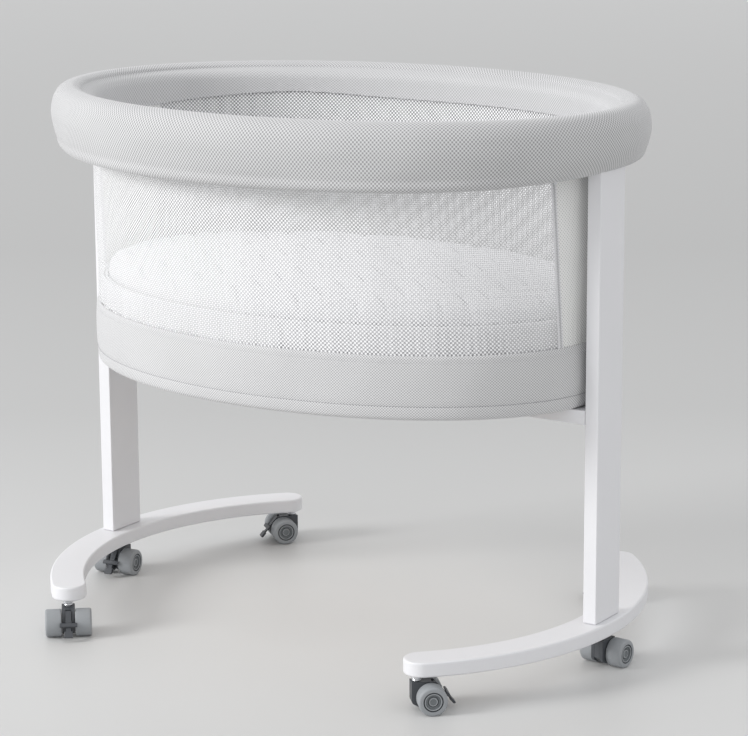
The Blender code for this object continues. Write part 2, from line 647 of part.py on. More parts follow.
def add_wheels(name, place):
    """Axle and twin wheels; each wheel's outer face is recessed round a bored hub."""
    inner = WHEEL_TRACK_GAP / 2
    outer = inner + WHEEL_WIDTH
    bore = AXLE_RADIUS + WHEEL_BORE_CLEARANCE
    profile = [
        (bore, inner),
        (WHEEL_RADIUS, inner),
        (WHEEL_RADIUS, outer - WHEEL_TREAD_ROUND),
        (WHEEL_RADIUS - WHEEL_TREAD_ROUND, outer),
        (WHEEL_RECESS_RADIUS, outer),
        (WHEEL_RECESS_RADIUS, outer - WHEEL_RECESS_DEPTH),
        (bore, outer - WHEEL_RECESS_DEPTH),
    ]
    hub = place @ across_caster(CASTER_TRAIL, AXLE_HEIGHT)
    for wheel_name, turn in (("left", 0.0), ("right", math.pi)):
        facing = hub @ Matrix.Rotation(turn, 4, "Y")
        add_object(name + "_caster_wheel_" + wheel_name, turned(profile, WHEEL_SIDES), WHEEL_GREY, facing)
    reach = outer - WHEEL_RECESS_DEPTH - AXLE_END_GAP
    axle = stacked_discs([(AXLE_RADIUS, -reach), (AXLE_RADIUS, reach)], ROUND_SIDES)
    add_object(name + "_caster_axle", axle, ZINC, hub)


def add_caster(name, heading):
    x, y = caster_place(name)
    place = Matrix.Translation((x, y, 0.0)) @ Matrix.Rotation(math.radians(heading), 4, "Z")
    add_stem(name, place)
    add_fork(name, place)
    add_wheels(name, place)
    add_lever(name, place)


# ------------------------------------------------------------------ assembly
for side_sign, side_label in ((-1, "left"), (1, "right")):
    add_foot(side_sign, side_label)
    add_post(side_sign, side_label)
    add_dowel(side_sign, side_label)
    add_hoop_bracket(side_sign, side_label)
    add_zip_slider(side_sign, side_label)
add_crossbar()
add_hoops()
add_bolster()
add_band()
add_walls()
add_bed()
for caster_name, caster_heading in CASTER_HEADINGS.items():
    add_caster(caster_name, caster_heading)
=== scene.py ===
"""Looks of an oval bedside crib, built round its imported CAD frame.

All sizes are in metres, in the frame's own axes: +Z up, the crib's length along X and its front,
with a zip at each side, towards -Y. Rounded boards, swept fabric rings, see-through nets, quilted
bedding and detailed casters stand for the plain CAD nodes.
"""
import json
from math import atan2, cos, exp, hypot, pi, radians, sin, tau

import bmesh
import bpy
import numpy as np
from mathutils import Matrix, Vector, noise


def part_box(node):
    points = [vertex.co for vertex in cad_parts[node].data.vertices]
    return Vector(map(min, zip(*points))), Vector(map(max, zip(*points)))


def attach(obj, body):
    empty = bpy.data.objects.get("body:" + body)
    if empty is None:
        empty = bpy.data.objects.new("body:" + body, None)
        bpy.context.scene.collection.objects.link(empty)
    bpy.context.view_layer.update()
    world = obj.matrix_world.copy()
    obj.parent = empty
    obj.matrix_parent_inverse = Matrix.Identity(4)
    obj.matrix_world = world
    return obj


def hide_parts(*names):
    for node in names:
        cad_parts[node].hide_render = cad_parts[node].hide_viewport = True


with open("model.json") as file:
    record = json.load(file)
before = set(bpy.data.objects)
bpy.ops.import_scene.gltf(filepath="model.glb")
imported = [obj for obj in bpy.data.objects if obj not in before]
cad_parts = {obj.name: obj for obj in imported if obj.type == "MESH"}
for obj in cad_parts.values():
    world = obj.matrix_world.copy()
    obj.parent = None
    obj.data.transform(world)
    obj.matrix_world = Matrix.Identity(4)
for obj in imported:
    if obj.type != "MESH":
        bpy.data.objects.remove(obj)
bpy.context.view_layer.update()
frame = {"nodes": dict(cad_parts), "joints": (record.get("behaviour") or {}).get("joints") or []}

CASTERS = [along + "_" + side for side in ("left", "right") for along in ("front", "mid", "rear")]
UP = Vector((0.0, 0.0, 1.0))
IN_PLACE = Matrix.Identity(4)

# ---- sizes read from the frame
rim_low, rim_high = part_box("rim_hoop")
HOOP_RADIUS = (rim_high.z - rim_low.z) / 2
HOOP_HEIGHT = (rim_high.z + rim_low.z) / 2
RIM_OVAL = (rim_high.x - HOOP_RADIUS, rim_high.y - HOOP_RADIUS)
base_low, base_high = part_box("base_hoop")
BASE_HOOP_RADIUS = (base_high.z - base_low.z) / 2
BASE_HOOP_HEIGHT = (base_high.z + base_low.z) / 2
board_low, board_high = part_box("base_board")
WALL_OVER_BOARD = 0.0015  # the net wall stands this far outside the base board
BASE_OVAL = (board_high.x + WALL_OVER_BOARD, board_high.y + WALL_OVER_BOARD)
band_low, band_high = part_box("lower_band")
net_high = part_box("net_back")[1]
bolster_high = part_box("bolster")[1]
mattress_low, mattress_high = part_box("mattress")
quilt_low, quilt_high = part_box("quilt")

NET_TOP_OFFSET = -0.004  # net wall in from the upper hoop's centre line, at its top
SEAM_ANGLE_TOP = radians(16.7)
SEAM_ANGLE_BOTTOM = radians(13.4)
REAR_SEAM_ANGLE = radians(15.0)
MESH_PITCH = 0.0057  # one diamond of the open nets
CLOSE_PITCH = 0.0052  # one diamond of the close rim and end mesh
BAND_PITCH = 0.004
RING_STEPS = 300


# ---- node helpers
def join(made, source, target):
    made.node_tree.links.new(source, target)


def shader_input(made, name):
    return made.node_tree.nodes["Principled BSDF"].inputs[name]


def new_material(name, roughness, metallic=0.0, sheen=0.0):
    made = bpy.data.materials.new(name)
    made.use_nodes = True
    for socket, value in (("Roughness", roughness), ("Metallic", metallic), ("Sheen Weight", sheen)):
        shader_input(made, socket).default_value = value
    return made


def add_node(made, kind, values=None):
    """A shader node with plain values on some of its inputs."""
    node = made.node_tree.nodes.new("ShaderNode" + kind)
    for name, value in (values or {}).items():
        node.inputs[name].default_value = value
    return node


def sums(made, operation, first, second=0.0):
    """A maths node on sockets or plain numbers."""
    node = add_node(made, "Math")
    node.operation = operation
    for socket, value in zip(node.inputs, (first, second)):
        if isinstance(value, (int, float)):
            socket.default_value = value
        else:
            join(made, value, socket)
    return node.outputs[0]


def spread(made, value, from_low, from_high, to_low=0.0, to_high=1.0):
    """Map a value from one range to another, and no further."""
    ends = {"From Min": from_low, "From Max": from_high, "To Min": to_low, "To Max": to_high}
    node = add_node(made, "MapRange", ends)
    join(made, value, node.inputs["Value"])
    return node.outputs["Result"]


def tint(made, share, low, high):
    """Set the base colour to a mix of two colours by a share from 0 to 1."""
    node = add_node(made, "Mix")
    node.data_type = "RGBA"
    join(made, share, node.inputs["Factor"])
    node.inputs["A"].default_value = (*low, 1.0)
    node.inputs["B"].default_value = (*high, 1.0)
    join(made, node.outputs["Result"], shader_input(made, "Base Color"))


def speckle(made, scale, detail=3.0, stretch=(1.0, 1.0, 1.0)):
    """Noise in the piece's own space, scale in features per metre."""
    place = add_node(made, "TexCoord")
    sized = add_node(made, "Mapping", {"Scale": stretch})
    join(made, place.outputs["Object"], sized.inputs["Vector"])
    node = add_node(made, "TexNoise", {"Scale": scale, "Detail": detail})
    join(made, sized.outputs["Vector"], node.inputs["Vector"])
    return node.outputs["Fac"]


def uneven_gloss(made, share, low, high):
    """Let the roughness follow a noise from 0.2 to 0.8."""
    join(made, spread(made, share, 0.2, 0.8, low, high), shader_input(made, "Roughness"))


def relief(made, height, strength, distance):
    node = add_node(made, "Bump", {"Strength": strength, "Distance": distance})
    join(made, height, node.inputs["Height"])
    join(made, node.outputs["Normal"], shader_input(made, "Normal"))


def cloth_map(made):
    """The cloth's own two directions, in metres."""
    place = add_node(made, "UVMap")
    parts = add_node(made, "SeparateXYZ")
    join(made, place.outputs["UV"], parts.inputs["Vector"])
    return parts.outputs["X"], parts.outputs["Y"]


def wave(made, value, pitch):
    return sums(made, "COSINE", sums(made, "MULTIPLY", value, tau / pitch))


def lattice(made, pitch):
    """Staggered diamond pattern on the cloth's own map, from -1 on the threads to 1 in the holes."""
    along, across = cloth_map(made)
    return sums(made, "MULTIPLY", wave(made, along, pitch), wave(made, across, pitch))


def ribs(made, pitch):
    """Diagonal knitted ribs on the cloth's own map, from -1 to 1."""
    along, across = cloth_map(made)
    return wave(made, sums(made, "ADD", along, across), pitch)


# ---- materials
def ramp(made, value, stops):
    """A grey colour ramp along a value from 0 to 1; stops are (place, grey)."""
    node = add_node(made, "ValToRGB")
    join(made, value, node.inputs["Fac"])
    elements = node.color_ramp.elements
    while len(elements) < len(stops):
        elements.new(0.5)
    for element, (place, grey) in zip(elements, stops):
        element.position = place
        element.color = (grey, grey, grey * 0.99, 1.0)
    return node.outputs["Color"]


def moulded(name, low, high, roughness, grain=900.0, strength=0.08):
    """Plastic or paint: a faint tone drift, a fine grain in its gloss and skin."""
    made = new_material(name, roughness)
    tint(made, speckle(made, 9.0), low, high)
    fine = speckle(made, grain)
    uneven_gloss(made, fine, roughness - 0.06, roughness + 0.06)
    relief(made, fine, strength, 0.0004)
    return made


def brushed_metal(name, low, high, roughness, stretch):
    made = new_material(name, roughness, metallic=1.0)
    streaks = speckle(made, 400.0, stretch=stretch)
    tint(made, streaks, low, high)
    uneven_gloss(made, streaks, roughness - 0.08, roughness + 0.1)
    relief(made, streaks, 0.1, 0.0002)
    return made


def wood(name):
    made = new_material(name, 0.62)
    grain = speckle(made, 26.0, 6.0, (0.12, 1.0, 1.0))
    tint(made, spread(made, grain, 0.3, 0.7), (0.42, 0.28, 0.16), (0.66, 0.5, 0.33))
    relief(made, grain, 0.15, 0.0005)
    return made


def close_mesh(name, pitch, hole, thread, strength=0.5):
    """Spacer mesh that can't be seen through: small pits between knitted threads, with painted shade
    darkening the pits.
    """
    made = new_material(name, 0.85, sheen=0.25)
    pits = lattice(made, pitch)
    drift = spread(made, speckle(made, 7.0), 0.3, 0.7, -0.06, 0.06)
    # painted shade: the pits take the first, darker colour
    tint(made, sums(made, "ADD", spread(made, pits, -0.25, 0.45, 1.0, 0.0), drift), hole, thread)
    relief(made, pits, -strength, 0.0006)
    return made


def open_net(name, pitch, thread, shade, hole_from, hole_to, veil):
    """Net with diamond holes; a shaded second layer of threads fills a share of each hole, the veil."""
    made = new_material(name, 0.8, sheen=0.2)
    pattern = lattice(made, pitch)
    tint(made, spread(made, pattern, hole_from - 0.35, hole_to, 1.0, 0.0), shade, thread)
    join(made, spread(made, pattern, hole_from, hole_to, 1.0, veil), shader_input(made, "Alpha"))
    relief(made, pattern, -0.4, 0.0005)
    return made


def cotton(name, low, high, weave=1600.0):
    made = new_material(name, 0.9, sheen=0.3)
    fine = speckle(made, weave, 2.0)
    drift = speckle(made, 12.0)
    tint(made, sums(made, "MULTIPLY", sums(made, "ADD", fine, drift), 0.5), low, high)
    relief(made, fine, 0.25, 0.0004)
    return made


def ribbed_tape(name, pitch=0.0012, low=(0.66, 0.66, 0.68), high=(0.82, 0.82, 0.83)):
    made = new_material(name, 0.8, sheen=0.2)
    rows = ribs(made, pitch)
    tint(made, spread(made, rows, -1.0, 1.0), low, high)
    relief(made, rows, 0.3, 0.0003)
    return made


WHITE_PAINT = moulded("white_paint", (0.75, 0.75, 0.77), (0.785, 0.785, 0.805), 0.38)
RAW_WOOD = wood("raw_wood")
HOOP_METAL = brushed_metal("hoop_metal", (0.52, 0.53, 0.54), (0.66, 0.67, 0.68), 0.38, (1.0, 1.0, 8.0))
BRACKET_PLASTIC = moulded("bracket_plastic", (0.7, 0.7, 0.71), (0.75, 0.75, 0.76), 0.5)
ZINC = brushed_metal("zinc", (0.62, 0.63, 0.65), (0.8, 0.81, 0.83), 0.3, (1.0, 1.0, 6.0))
DARK_PLASTIC = moulded("dark_plastic", (0.055, 0.06, 0.068), (0.072, 0.077, 0.086), 0.42)
HUB_GREY = moulded("hub_grey", (0.15, 0.165, 0.175), (0.18, 0.195, 0.205), 0.45)
TREAD_GREY = moulded("tread_grey", (0.285, 0.3, 0.315), (0.33, 0.345, 0.36), 0.62, 1500.0, 0.15)
# The first colour of each close mesh is painted shade in its pits.
RIM_MESH = close_mesh("rim_mesh", CLOSE_PITCH, (0.29, 0.29, 0.295), (0.65, 0.65, 0.655))
BAND_FABRIC = close_mesh("band_fabric", BAND_PITCH, (0.36, 0.36, 0.365), (0.7, 0.7, 0.705))
LINING = close_mesh("lining", CLOSE_PITCH, (0.39, 0.39, 0.395), (0.62, 0.62, 0.625), 0.3)
END_MESH = open_net("end_mesh", CLOSE_PITCH, (0.84, 0.84, 0.825), (0.64, 0.64, 0.63),
                    hole_from=0.35, hole_to=0.75, veil=0.8)
NET_FABRIC = open_net("net_fabric", MESH_PITCH, (0.95, 0.95, 0.955), (0.27, 0.27, 0.28),
                      hole_from=0.04, hole_to=0.26, veil=0.12)
ZIP_TAPE = ribbed_tape("zip_tape")
ZIP_COIL = moulded("zip_coil", (0.46, 0.46, 0.47), (0.55, 0.55, 0.56), 0.45)
BED_COTTON = cotton("bed_cotton", (0.76, 0.76, 0.77), (0.84, 0.84, 0.86))
QUILT_COTTON = cotton("quilt_cotton", (0.88, 0.88, 0.9), (0.94, 0.94, 0.955))
PIPING = cotton("piping", (0.84, 0.84, 0.85), (0.92, 0.92, 0.93), 2600.0)
PALE_THREAD = cotton("pale_thread", (0.56, 0.56, 0.57), (0.68, 0.68, 0.69), 2600.0)
DARK_THREAD = cotton("dark_thread", (0.2, 0.2, 0.22), (0.3, 0.3, 0.32), 2600.0)
GROOVE_GREY = moulded("groove_grey", (0.07, 0.08, 0.09), (0.1, 0.11, 0.12), 0.6)


# ---- mesh helpers
def add_object(name, mesh, finish, place, smooth_angle):
    if not mesh.materials:
        mesh.materials.append(finish)
    mesh.shade_smooth()
    mesh.set_sharp_from_angle(angle=radians(smooth_angle))
    made = bpy.data.objects.new(name, mesh)
    made.matrix_world = place
    bpy.context.scene.collection.objects.link(made)
    return made


def evaluated(made):
    return made.evaluated_get(bpy.context.evaluated_depsgraph_get())


def finish_mesh(name, bm, tidy=True):
    if tidy:
        bmesh.ops.recalc_face_normals(bm, faces=bm.faces)
    mesh = bpy.data.meshes.new(name)
    bm.to_mesh(mesh)
    bm.free()
    return mesh


def lengths(points, closed):
    """Distances along a row of points, with one more for the way back when it is closed."""
    row = list(points) + ([points[0]] if closed else [])
    total = [0.0]
    for near, far in zip(row, row[1:]):
        total.append(total[-1] + (far - near).length)
    return total


def skin(rows, close_rows=False, close_columns=False, pitch=None, caps=False):
    """Skin a grid of points and map it in metres; a closed way holds a whole number of pitches."""
    count = len(rows[0])
    down = lengths(rows[0], close_columns)
    middle = count // 2
    along = lengths([row[middle] for row in rows], close_rows)
    if pitch and close_rows:
        along = [value * round(along[-1] / pitch) * pitch / along[-1] for value in along]
    if pitch and close_columns:
        down = [value * round(down[-1] / pitch) * pitch / down[-1] for value in down]
    bm = bmesh.new()
    layer = bm.loops.layers.uv.new("metres")
    verts = [[bm.verts.new(point) for point in row] for row in rows]
    for i in range(len(rows) if close_rows else len(rows) - 1):
        for j in range(count if close_columns else count - 1):
            corners = ((i, j), (i + 1, j), (i + 1, j + 1), (i, j + 1))
            face = bm.faces.new([verts[a % len(rows)][b % count] for a, b in corners])
            for loop, (a, b) in zip(face.loops, corners):
                loop[layer].uv = (along[a], down[b])
    if caps:
        bm.faces.new(verts[0])
        bm.faces.new(list(reversed(verts[-1])))
    return bm


def prism(outline, bottom, top):
    rows = [[Vector((x, y, z)) for x, y in outline] for z in (bottom, top)]
    return skin(rows, close_columns=True, caps=True)


def bevelled(made, width, segments=3):
    modifier = made.modifiers.new("round_edges", "BEVEL")
    modifier.width = width
    modifier.segments = segments
    modifier.limit_method = "ANGLE"
    modifier.angle_limit = radians(50)
    modifier.harden_normals = True


def round_angles(count):
    return [tau * step / count for step in range(count)]


def turned(profile, sides):
    """Turn a closed (radius, height) profile about Z."""
    rows = []
    for angle in round_angles(sides):
        rows.append([Vector((r * cos(angle), r * sin(angle), z)) for r, z in profile])
    return skin(rows, close_rows=True, close_columns=True)


def stacked_discs(levels, sides=48):
    """A closed round body through (radius, height) levels."""
    rows = []
    for radius, height in levels:
        rows.append([Vector((radius * cos(a), radius * sin(a), height)) for a in round_angles(sides)])
    return skin(rows, close_columns=True, caps=True)


def smooth_closed(points, count, base, scale=1.0):
    """Evenly spaced points on a smooth closed section; points are (offset, level) from a base height."""
    corners = [Vector((offset, base + scale * level)) for offset, level in points]
    size = len(corners)
    dense = []
    per_span = 16
    for i in range(size):
        a, b, c, d = (corners[(i + k) % size] for k in (-1, 0, 1, 2))
        for step in range(per_span):
            t = step / per_span
            dense.append(0.5 * ((2 * b) + (c - a) * t + (2 * a - 5 * b + 4 * c - d) * t ** 2
                                + (3 * b - a - 3 * c + d) * t ** 3))
    along = lengths(dense, True)
    dense.append(dense[0])
    marks = np.linspace(0.0, along[-1], count, endpoint=False)
    across, up = ([point[axis] for point in dense] for axis in (0, 1))
    return [Vector((np.interp(mark, along, across), np.interp(mark, along, up))) for mark in marks]


def merged(parts):
    """Join several bmeshes into one."""
    whole = parts[0]
    for part in parts[1:]:
        mesh = bpy.data.meshes.new("part")
        part.to_mesh(mesh)
        part.free()
        whole.from_mesh(mesh)
        bpy.data.meshes.remove(mesh)
    return whole


def block(centre, axes, half):
    """A small box at a centre, along three axes, with half sizes."""
    bm = bmesh.new()
    bmesh.ops.create_cube(bm, size=2.0)
    place = Matrix([axis * size for axis, size in zip(axes, half)]).transposed().to_4x4()
    place.translation = centre
    bmesh.ops.transform(bm, matrix=place, verts=bm.verts)
    return bm


def piece(name, mesh, finish, replaces=(), body="root", slot=None, smooth_angle=60.0, place=IN_PLACE):
    """A piece of the object, riding on its body; the slot argument is not used."""
    made = add_object(name, mesh, finish, place, smooth_angle)
    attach(made, body)
    if replaces:
        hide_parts(*replaces)
    return made


def placed(name, bm, finish, replaces=(), tidy=True, **choices):
    return piece(name, finish_mesh(name, bm, tidy), finish, replaces, **choices)


def bump(value, middle, width):
    """1 at the middle, falling smoothly to nothing a few widths away."""
    return exp(-((value - middle) / width) ** 2)


# ---- oval and wall helpers
def oval_point(oval, angle, offset=0.0):
    half_length, half_width = oval
    across = Vector((half_width * cos(angle), half_length * sin(angle))).normalized()
    return Vector((half_length * cos(angle), half_width * sin(angle))) + offset * across


def oval_spot(oval, angle, offset, height):
    return Vector((*oval_point(oval, angle, offset), height))


def oval_ring(oval, section_at, steps=RING_STEPS, pitch=None):
    """Sweep a section round an oval; section_at gives its (offset, height) points at an angle."""
    rows = []
    for angle in round_angles(steps):
        rows.append([oval_spot(oval, angle, offset, height) for offset, height in section_at(angle)])
    return skin(rows, close_rows=True, close_columns=True, pitch=pitch)


def oval_tube(oval, offset, height, radius, sides=20):
    section = [(offset + radius * cos(a), height + radius * sin(a)) for a in round_angles(sides)]
    return oval_ring(oval, lambda angle: section)


def ring_noise(angle, scale, level=0.0):
    """Smooth noise from -1 to 1 that meets itself once round."""
    return noise.noise(Vector((scale * cos(angle), scale * sin(angle), level)))


def wall_share(height):
    return (height - band_high.z) / (net_high.z - band_high.z)


def wall_point(angle, height, offset=0.0):
    """A point on the net wall, which runs straight from the base board's edge to the upper hoop."""
    share = wall_share(height)
    low = oval_point(BASE_OVAL, angle, offset)
    high = oval_point(RIM_OVAL, angle, offset + NET_TOP_OFFSET)
    return Vector((*low.lerp(high, share), height))


def seam_angle(height):
    return SEAM_ANGLE_BOTTOM + wall_share(height) * (SEAM_ANGLE_TOP - SEAM_ANGLE_BOTTOM)


# ---- boards
FOOT_ARC_RADIUS = 0.388
FOOT_HALF_ANGLE = radians(46.2)
FOOT_WIDTH = 0.051
FOOT_ROUND = 0.003
BOARD_ROUND = 0.0014


def foot_outline(side):
    """A curved board of even width with half-round ends, bulging away from the crib."""
    half_width = FOOT_WIDTH / 2
    centre = Vector((side * (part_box("foot_right")[1].x - half_width - FOOT_ARC_RADIUS), 0.0))
    points = []

    def add_arc(middle, radius, first, last, steps):
        for step in range(steps):
            angle = first + (last - first) * step / steps
            points.append(tuple(middle + radius * Vector((side * cos(angle), sin(angle)))))

    way_to_end = Vector((side * cos(FOOT_HALF_ANGLE), sin(FOOT_HALF_ANGLE)))
    end_rear = centre + FOOT_ARC_RADIUS * way_to_end
    end_front = Vector((end_rear.x, -end_rear.y))
    add_arc(centre, FOOT_ARC_RADIUS + half_width, -FOOT_HALF_ANGLE, FOOT_HALF_ANGLE, 72)
    add_arc(end_rear, half_width, FOOT_HALF_ANGLE, FOOT_HALF_ANGLE + pi, 28)
    add_arc(centre, FOOT_ARC_RADIUS - half_width, FOOT_HALF_ANGLE, -FOOT_HALF_ANGLE, 72)
    add_arc(end_front, half_width, -FOOT_HALF_ANGLE - pi, -FOOT_HALF_ANGLE, 28)
    return points


def add_board(name, outline, low, high, edge_round):
    made = placed(name + "_board", prism(outline, low.z, high.z), WHITE_PAINT, [name], smooth_angle=35.0)
    bevelled(made, edge_round)


def add_boards():
    for name, side in (("foot_left", -1), ("foot_right", 1)):
        add_board(name, foot_outline(side), *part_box(name), FOOT_ROUND)
    for name in ("post_left", "post_right", "crossbar"):
        low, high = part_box(name)
        outline = [(low.x, low.y), (high.x, low.y), (high.x, high.y), (low.x, high.y)]
        add_board(name, outline, low, high, BOARD_ROUND)


# ---- cloth
SIM_FRAMES = 20


def coordinates(mesh):
    values = np.empty(len(mesh.vertices) * 3)
    mesh.vertices.foreach_get("co", values)
    return values


def puffed(made, held, pressure, most):
    """Swell a padded piece by cloth simulation: held points stay, and none moves further than most."""
    mesh = made.data
    group = made.vertex_groups.new(name="held")
    group.add(held, 1.0, "REPLACE")
    cloth = made.modifiers.new("cloth", "CLOTH")
    cloth.settings.use_pressure = True
    cloth.settings.uniform_pressure_force = pressure
    cloth.settings.effector_weights.gravity = 0.0
    cloth.settings.vertex_group_mass = "held" if held else ""
    cloth.point_cache.frame_end = SIM_FRAMES
    scene = bpy.context.scene
    for frame_number in range(1, SIM_FRAMES + 1):
        scene.frame_set(frame_number)
    before = coordinates(mesh)
    moved = (coordinates(evaluated(made).data) - before).reshape(-1, 3)
    reach = np.linalg.norm(moved, axis=1)
    moved *= np.minimum(1.0, most / np.maximum(reach, 1e-9))[:, None]
    made.modifiers.remove(cloth)
    made.vertex_groups.remove(group)
    mesh.vertices.foreach_set("co", before + moved.ravel())
    mesh.update()
    scene.frame_set(1)


def held_rings(section, stays):
    """Vertex numbers, all the way round, of the section's points that the cloth doesn't move."""
    columns = [column for column, point in enumerate(section) if stays(point)]
    return [row * len(section) + column for column in columns for row in range(RING_STEPS)]


def subdivided(made):
    modifier = made.modifiers.new("smooth", "SUBSURF")
    modifier.levels = 1
    modifier.render_levels = 1


def baked(made):
    """Put the result of a piece's modifiers into its mesh."""
    mesh = bpy.data.meshes.new_from_object(evaluated(made))
    made.modifiers.clear()
    made.data = mesh
    return mesh


# ---- padded rim
BOLSTER_PROUD = 0.004  # the stuffed rim stands this far over its plain CAD ring
BOLSTER_SAG = 0.003  # and hangs this much lower halfway along each side
CREST_HEIGHT = bolster_high.z + BOLSTER_PROUD
# Offset from the upper hoop's centre line and height under the crest, from the inner crease outwards.
BOLSTER_TOP = [
    (0.0095, -0.0085), (0.0165, -0.003), (0.0275, -0.0002), (0.041, -0.0045), (0.0505, -0.018),
]
BOLSTER_SECTION = BOLSTER_TOP + [
    (0.054, -0.0375), (0.053, -0.053), (0.0508, -0.066), (0.0484, -0.0745), (0.0476, -0.0764),
    (0.0484, -0.0784), (0.0482, -0.0842), (0.0458, -0.0892), (0.0395, -0.0926), (0.026, -0.0926),
    (0.0125, -0.084), (0.009, -0.045),
]
# At the two ends, over the posts, the lower roll lies flat and the rim's underside is round.
BOLSTER_END_SECTION = BOLSTER_TOP + [
    (0.0538, -0.037), (0.0524, -0.051), (0.049, -0.062), (0.0442, -0.0705), (0.0425, -0.0727),
    (0.0406, -0.0752), (0.0372, -0.079), (0.0326, -0.0826), (0.0262, -0.0856), (0.019, -0.0862),
    (0.0125, -0.08), (0.009, -0.045),
]
BOLSTER_COLUMNS = 72
BOLSTER_SEAM = CREST_HEIGHT - 0.0764  # the seam above the small lower roll
BOLSTER_SEAM_OFFSET = 0.03  # it lies further out than this
BOLSTER_HELD_OFFSET = 0.016  # the cloth further in than this stays in place
BOLSTER_HELD_UNDER = 0.088  # and so does the underside, this far under the crest
BOLSTER_PRESSURE = 3.0
BOLSTER_SWELL = 0.0022  # the most that the pressure moves the cloth
SAG_FADE = 0.03  # the sag fades out over this height above the seam
SWAY = 0.0011  # soft unevenness of the outside
PUCKER = 0.0004  # small gathers along the seam
SLEEVE_GAP = 0.0012
# The lining's way from the bolster's crease over the upper hoop, as offset and height under the crest.
LINING_TOP = [
    (0.015, -0.0046), (0.0105, -0.0078), (0.006, -0.0098), (0.0015, -0.0112), (-0.0025, -0.0128),
    (-0.006, -0.0156), (-0.0084, -0.0192), (-0.0092, -0.0225),
]
LINING_HEM = CREST_HEIGHT - 0.052
LINING_IN = 0.0035  # the hem lies this far inside the net wall
LINING_RIPPLE = 0.0006  # as a share of the way from the crib's middle
# The hem lifts and drops a little: at what angle, over what angle (both in degrees), and how far.
HEM_WAVES = ((127.0, 18.0, 0.0075), (172.0, 14.0, -0.007), (300.0, 25.0, 0.003))


def add_bolster():
    section = smooth_closed(BOLSTER_SECTION, BOLSTER_COLUMNS, CREST_HEIGHT)
    at_ends = smooth_closed(BOLSTER_END_SECTION, BOLSTER_COLUMNS, CREST_HEIGHT)

    def section_at(angle):
        points = []
        end_share = cos(angle) ** 8
        for side_point, end_point in zip(section, at_ends):
            point = side_point.lerp(end_point, end_share)
            near_seam = bump(point.y, BOLSTER_SEAM, 0.008) * (point.x > BOLSTER_SEAM_OFFSET)
            pucker = PUCKER * near_seam * sin(angle * 150.0)
            sway = SWAY * ring_noise(angle, 5, 40 * point.y) * (point.x > 0.02)
            below = max(0.0, min(1.0, (BOLSTER_SEAM + SAG_FADE - point.y) / SAG_FADE))
            sag = BOLSTER_SAG * below * sin(angle) ** 2
            points.append((point.x + pucker + sway, point.y - sag))
        return points

    def stays(point):
        at_seam = abs(point.y - BOLSTER_SEAM) < 0.003 and point.x > BOLSTER_SEAM_OFFSET
        return at_seam or point.x < BOLSTER_HELD_OFFSET or point.y < CREST_HEIGHT - BOLSTER_HELD_UNDER

    made = placed("rim_bolster", oval_ring(RIM_OVAL, section_at, pitch=CLOSE_PITCH), RIM_MESH, ["bolster"])
    puffed(made, held_rings(section, stays), BOLSTER_PRESSURE, BOLSTER_SWELL)
    subdivided(made)


def add_rim_lining():
    """Cloth from the bolster's crease over the upper hoop and down inside the net to its hem."""
    placed("rim_tube", oval_tube(RIM_OVAL, 0.0, HOOP_HEIGHT, HOOP_RADIUS), HOOP_METAL, ["rim_hoop"])
    radius = HOOP_RADIUS + SLEEVE_GAP
    down_steps = 8
    rows = []
    for angle in round_angles(RING_STEPS):
        lifts = (lift * bump(angle, radians(at), radians(width)) for at, width, lift in HEM_WAVES)
        hem = LINING_HEM + sum(lifts)
        row = [oval_spot(RIM_OVAL, angle, offset, CREST_HEIGHT + height) for offset, height in LINING_TOP]
        for level in range(1, down_steps + 1):
            share = level / down_steps
            height = HOOP_HEIGHT + (hem - HOOP_HEIGHT) * share
            inside = wall_point(angle, height, -LINING_IN)
            near = oval_spot(RIM_OVAL, angle, -radius, height)
            ripple = LINING_RIPPLE * sin(angle * 88.0) * share
            row.append(near.lerp(inside, share ** 2) * (1.0 + ripple))
        rows.append(row)
    lining = placed("rim_lining", skin(rows, close_rows=True, pitch=CLOSE_PITCH), LINING, tidy=False,
                    slot="rim_mesh")


# ---- net walls, end panels and zips
ZIP_WIDTH = 0.0085
ZIP_SKIN = 0.0012
ZIP_TOOTH = 0.0018  # from tooth to tooth
REAR_TAPE_WIDTH = 0.005
REAR_TAPE_SKIN = 0.0006
NET_GATHERS = 192
NET_TUCK = 0.004  # the nets start this far under the band's top
TAPE_TUCK = 0.003


def wall_sheet(start, start_shift, end, end_shift, columns, gather):
    """A piece of wall between two seams, shifted by some angle; it gathers at the band."""
    levels = 26
    low = band_high.z - NET_TUCK
    high = net_high.z
    rows = []
    for column in range(columns + 1):
        row = []
        for level in range(levels + 1):
            height = low + (high - low) * level / levels
            first = start(height) + start_shift
            angle = first + (end(height) + end_shift - first) * column / columns
            share = level / levels
            fold = gather * exp(-share * 7.0) * sin(angle * NET_GATHERS)
            slack = gather * sin(pi * share) * ring_noise(angle, 9, 3 * height)
            row.append(wall_point(angle, height, -0.0005 + fold + 1.5 * slack))
        rows.append(row)
    return skin(rows)


def front_right(height):
    return tau - seam_angle(height)


def front_left(height):
    return pi + seam_angle(height)


def rear_right(height):
    return REAR_SEAM_ANGLE


def rear_left(height):
    return pi - REAR_SEAM_ANGLE


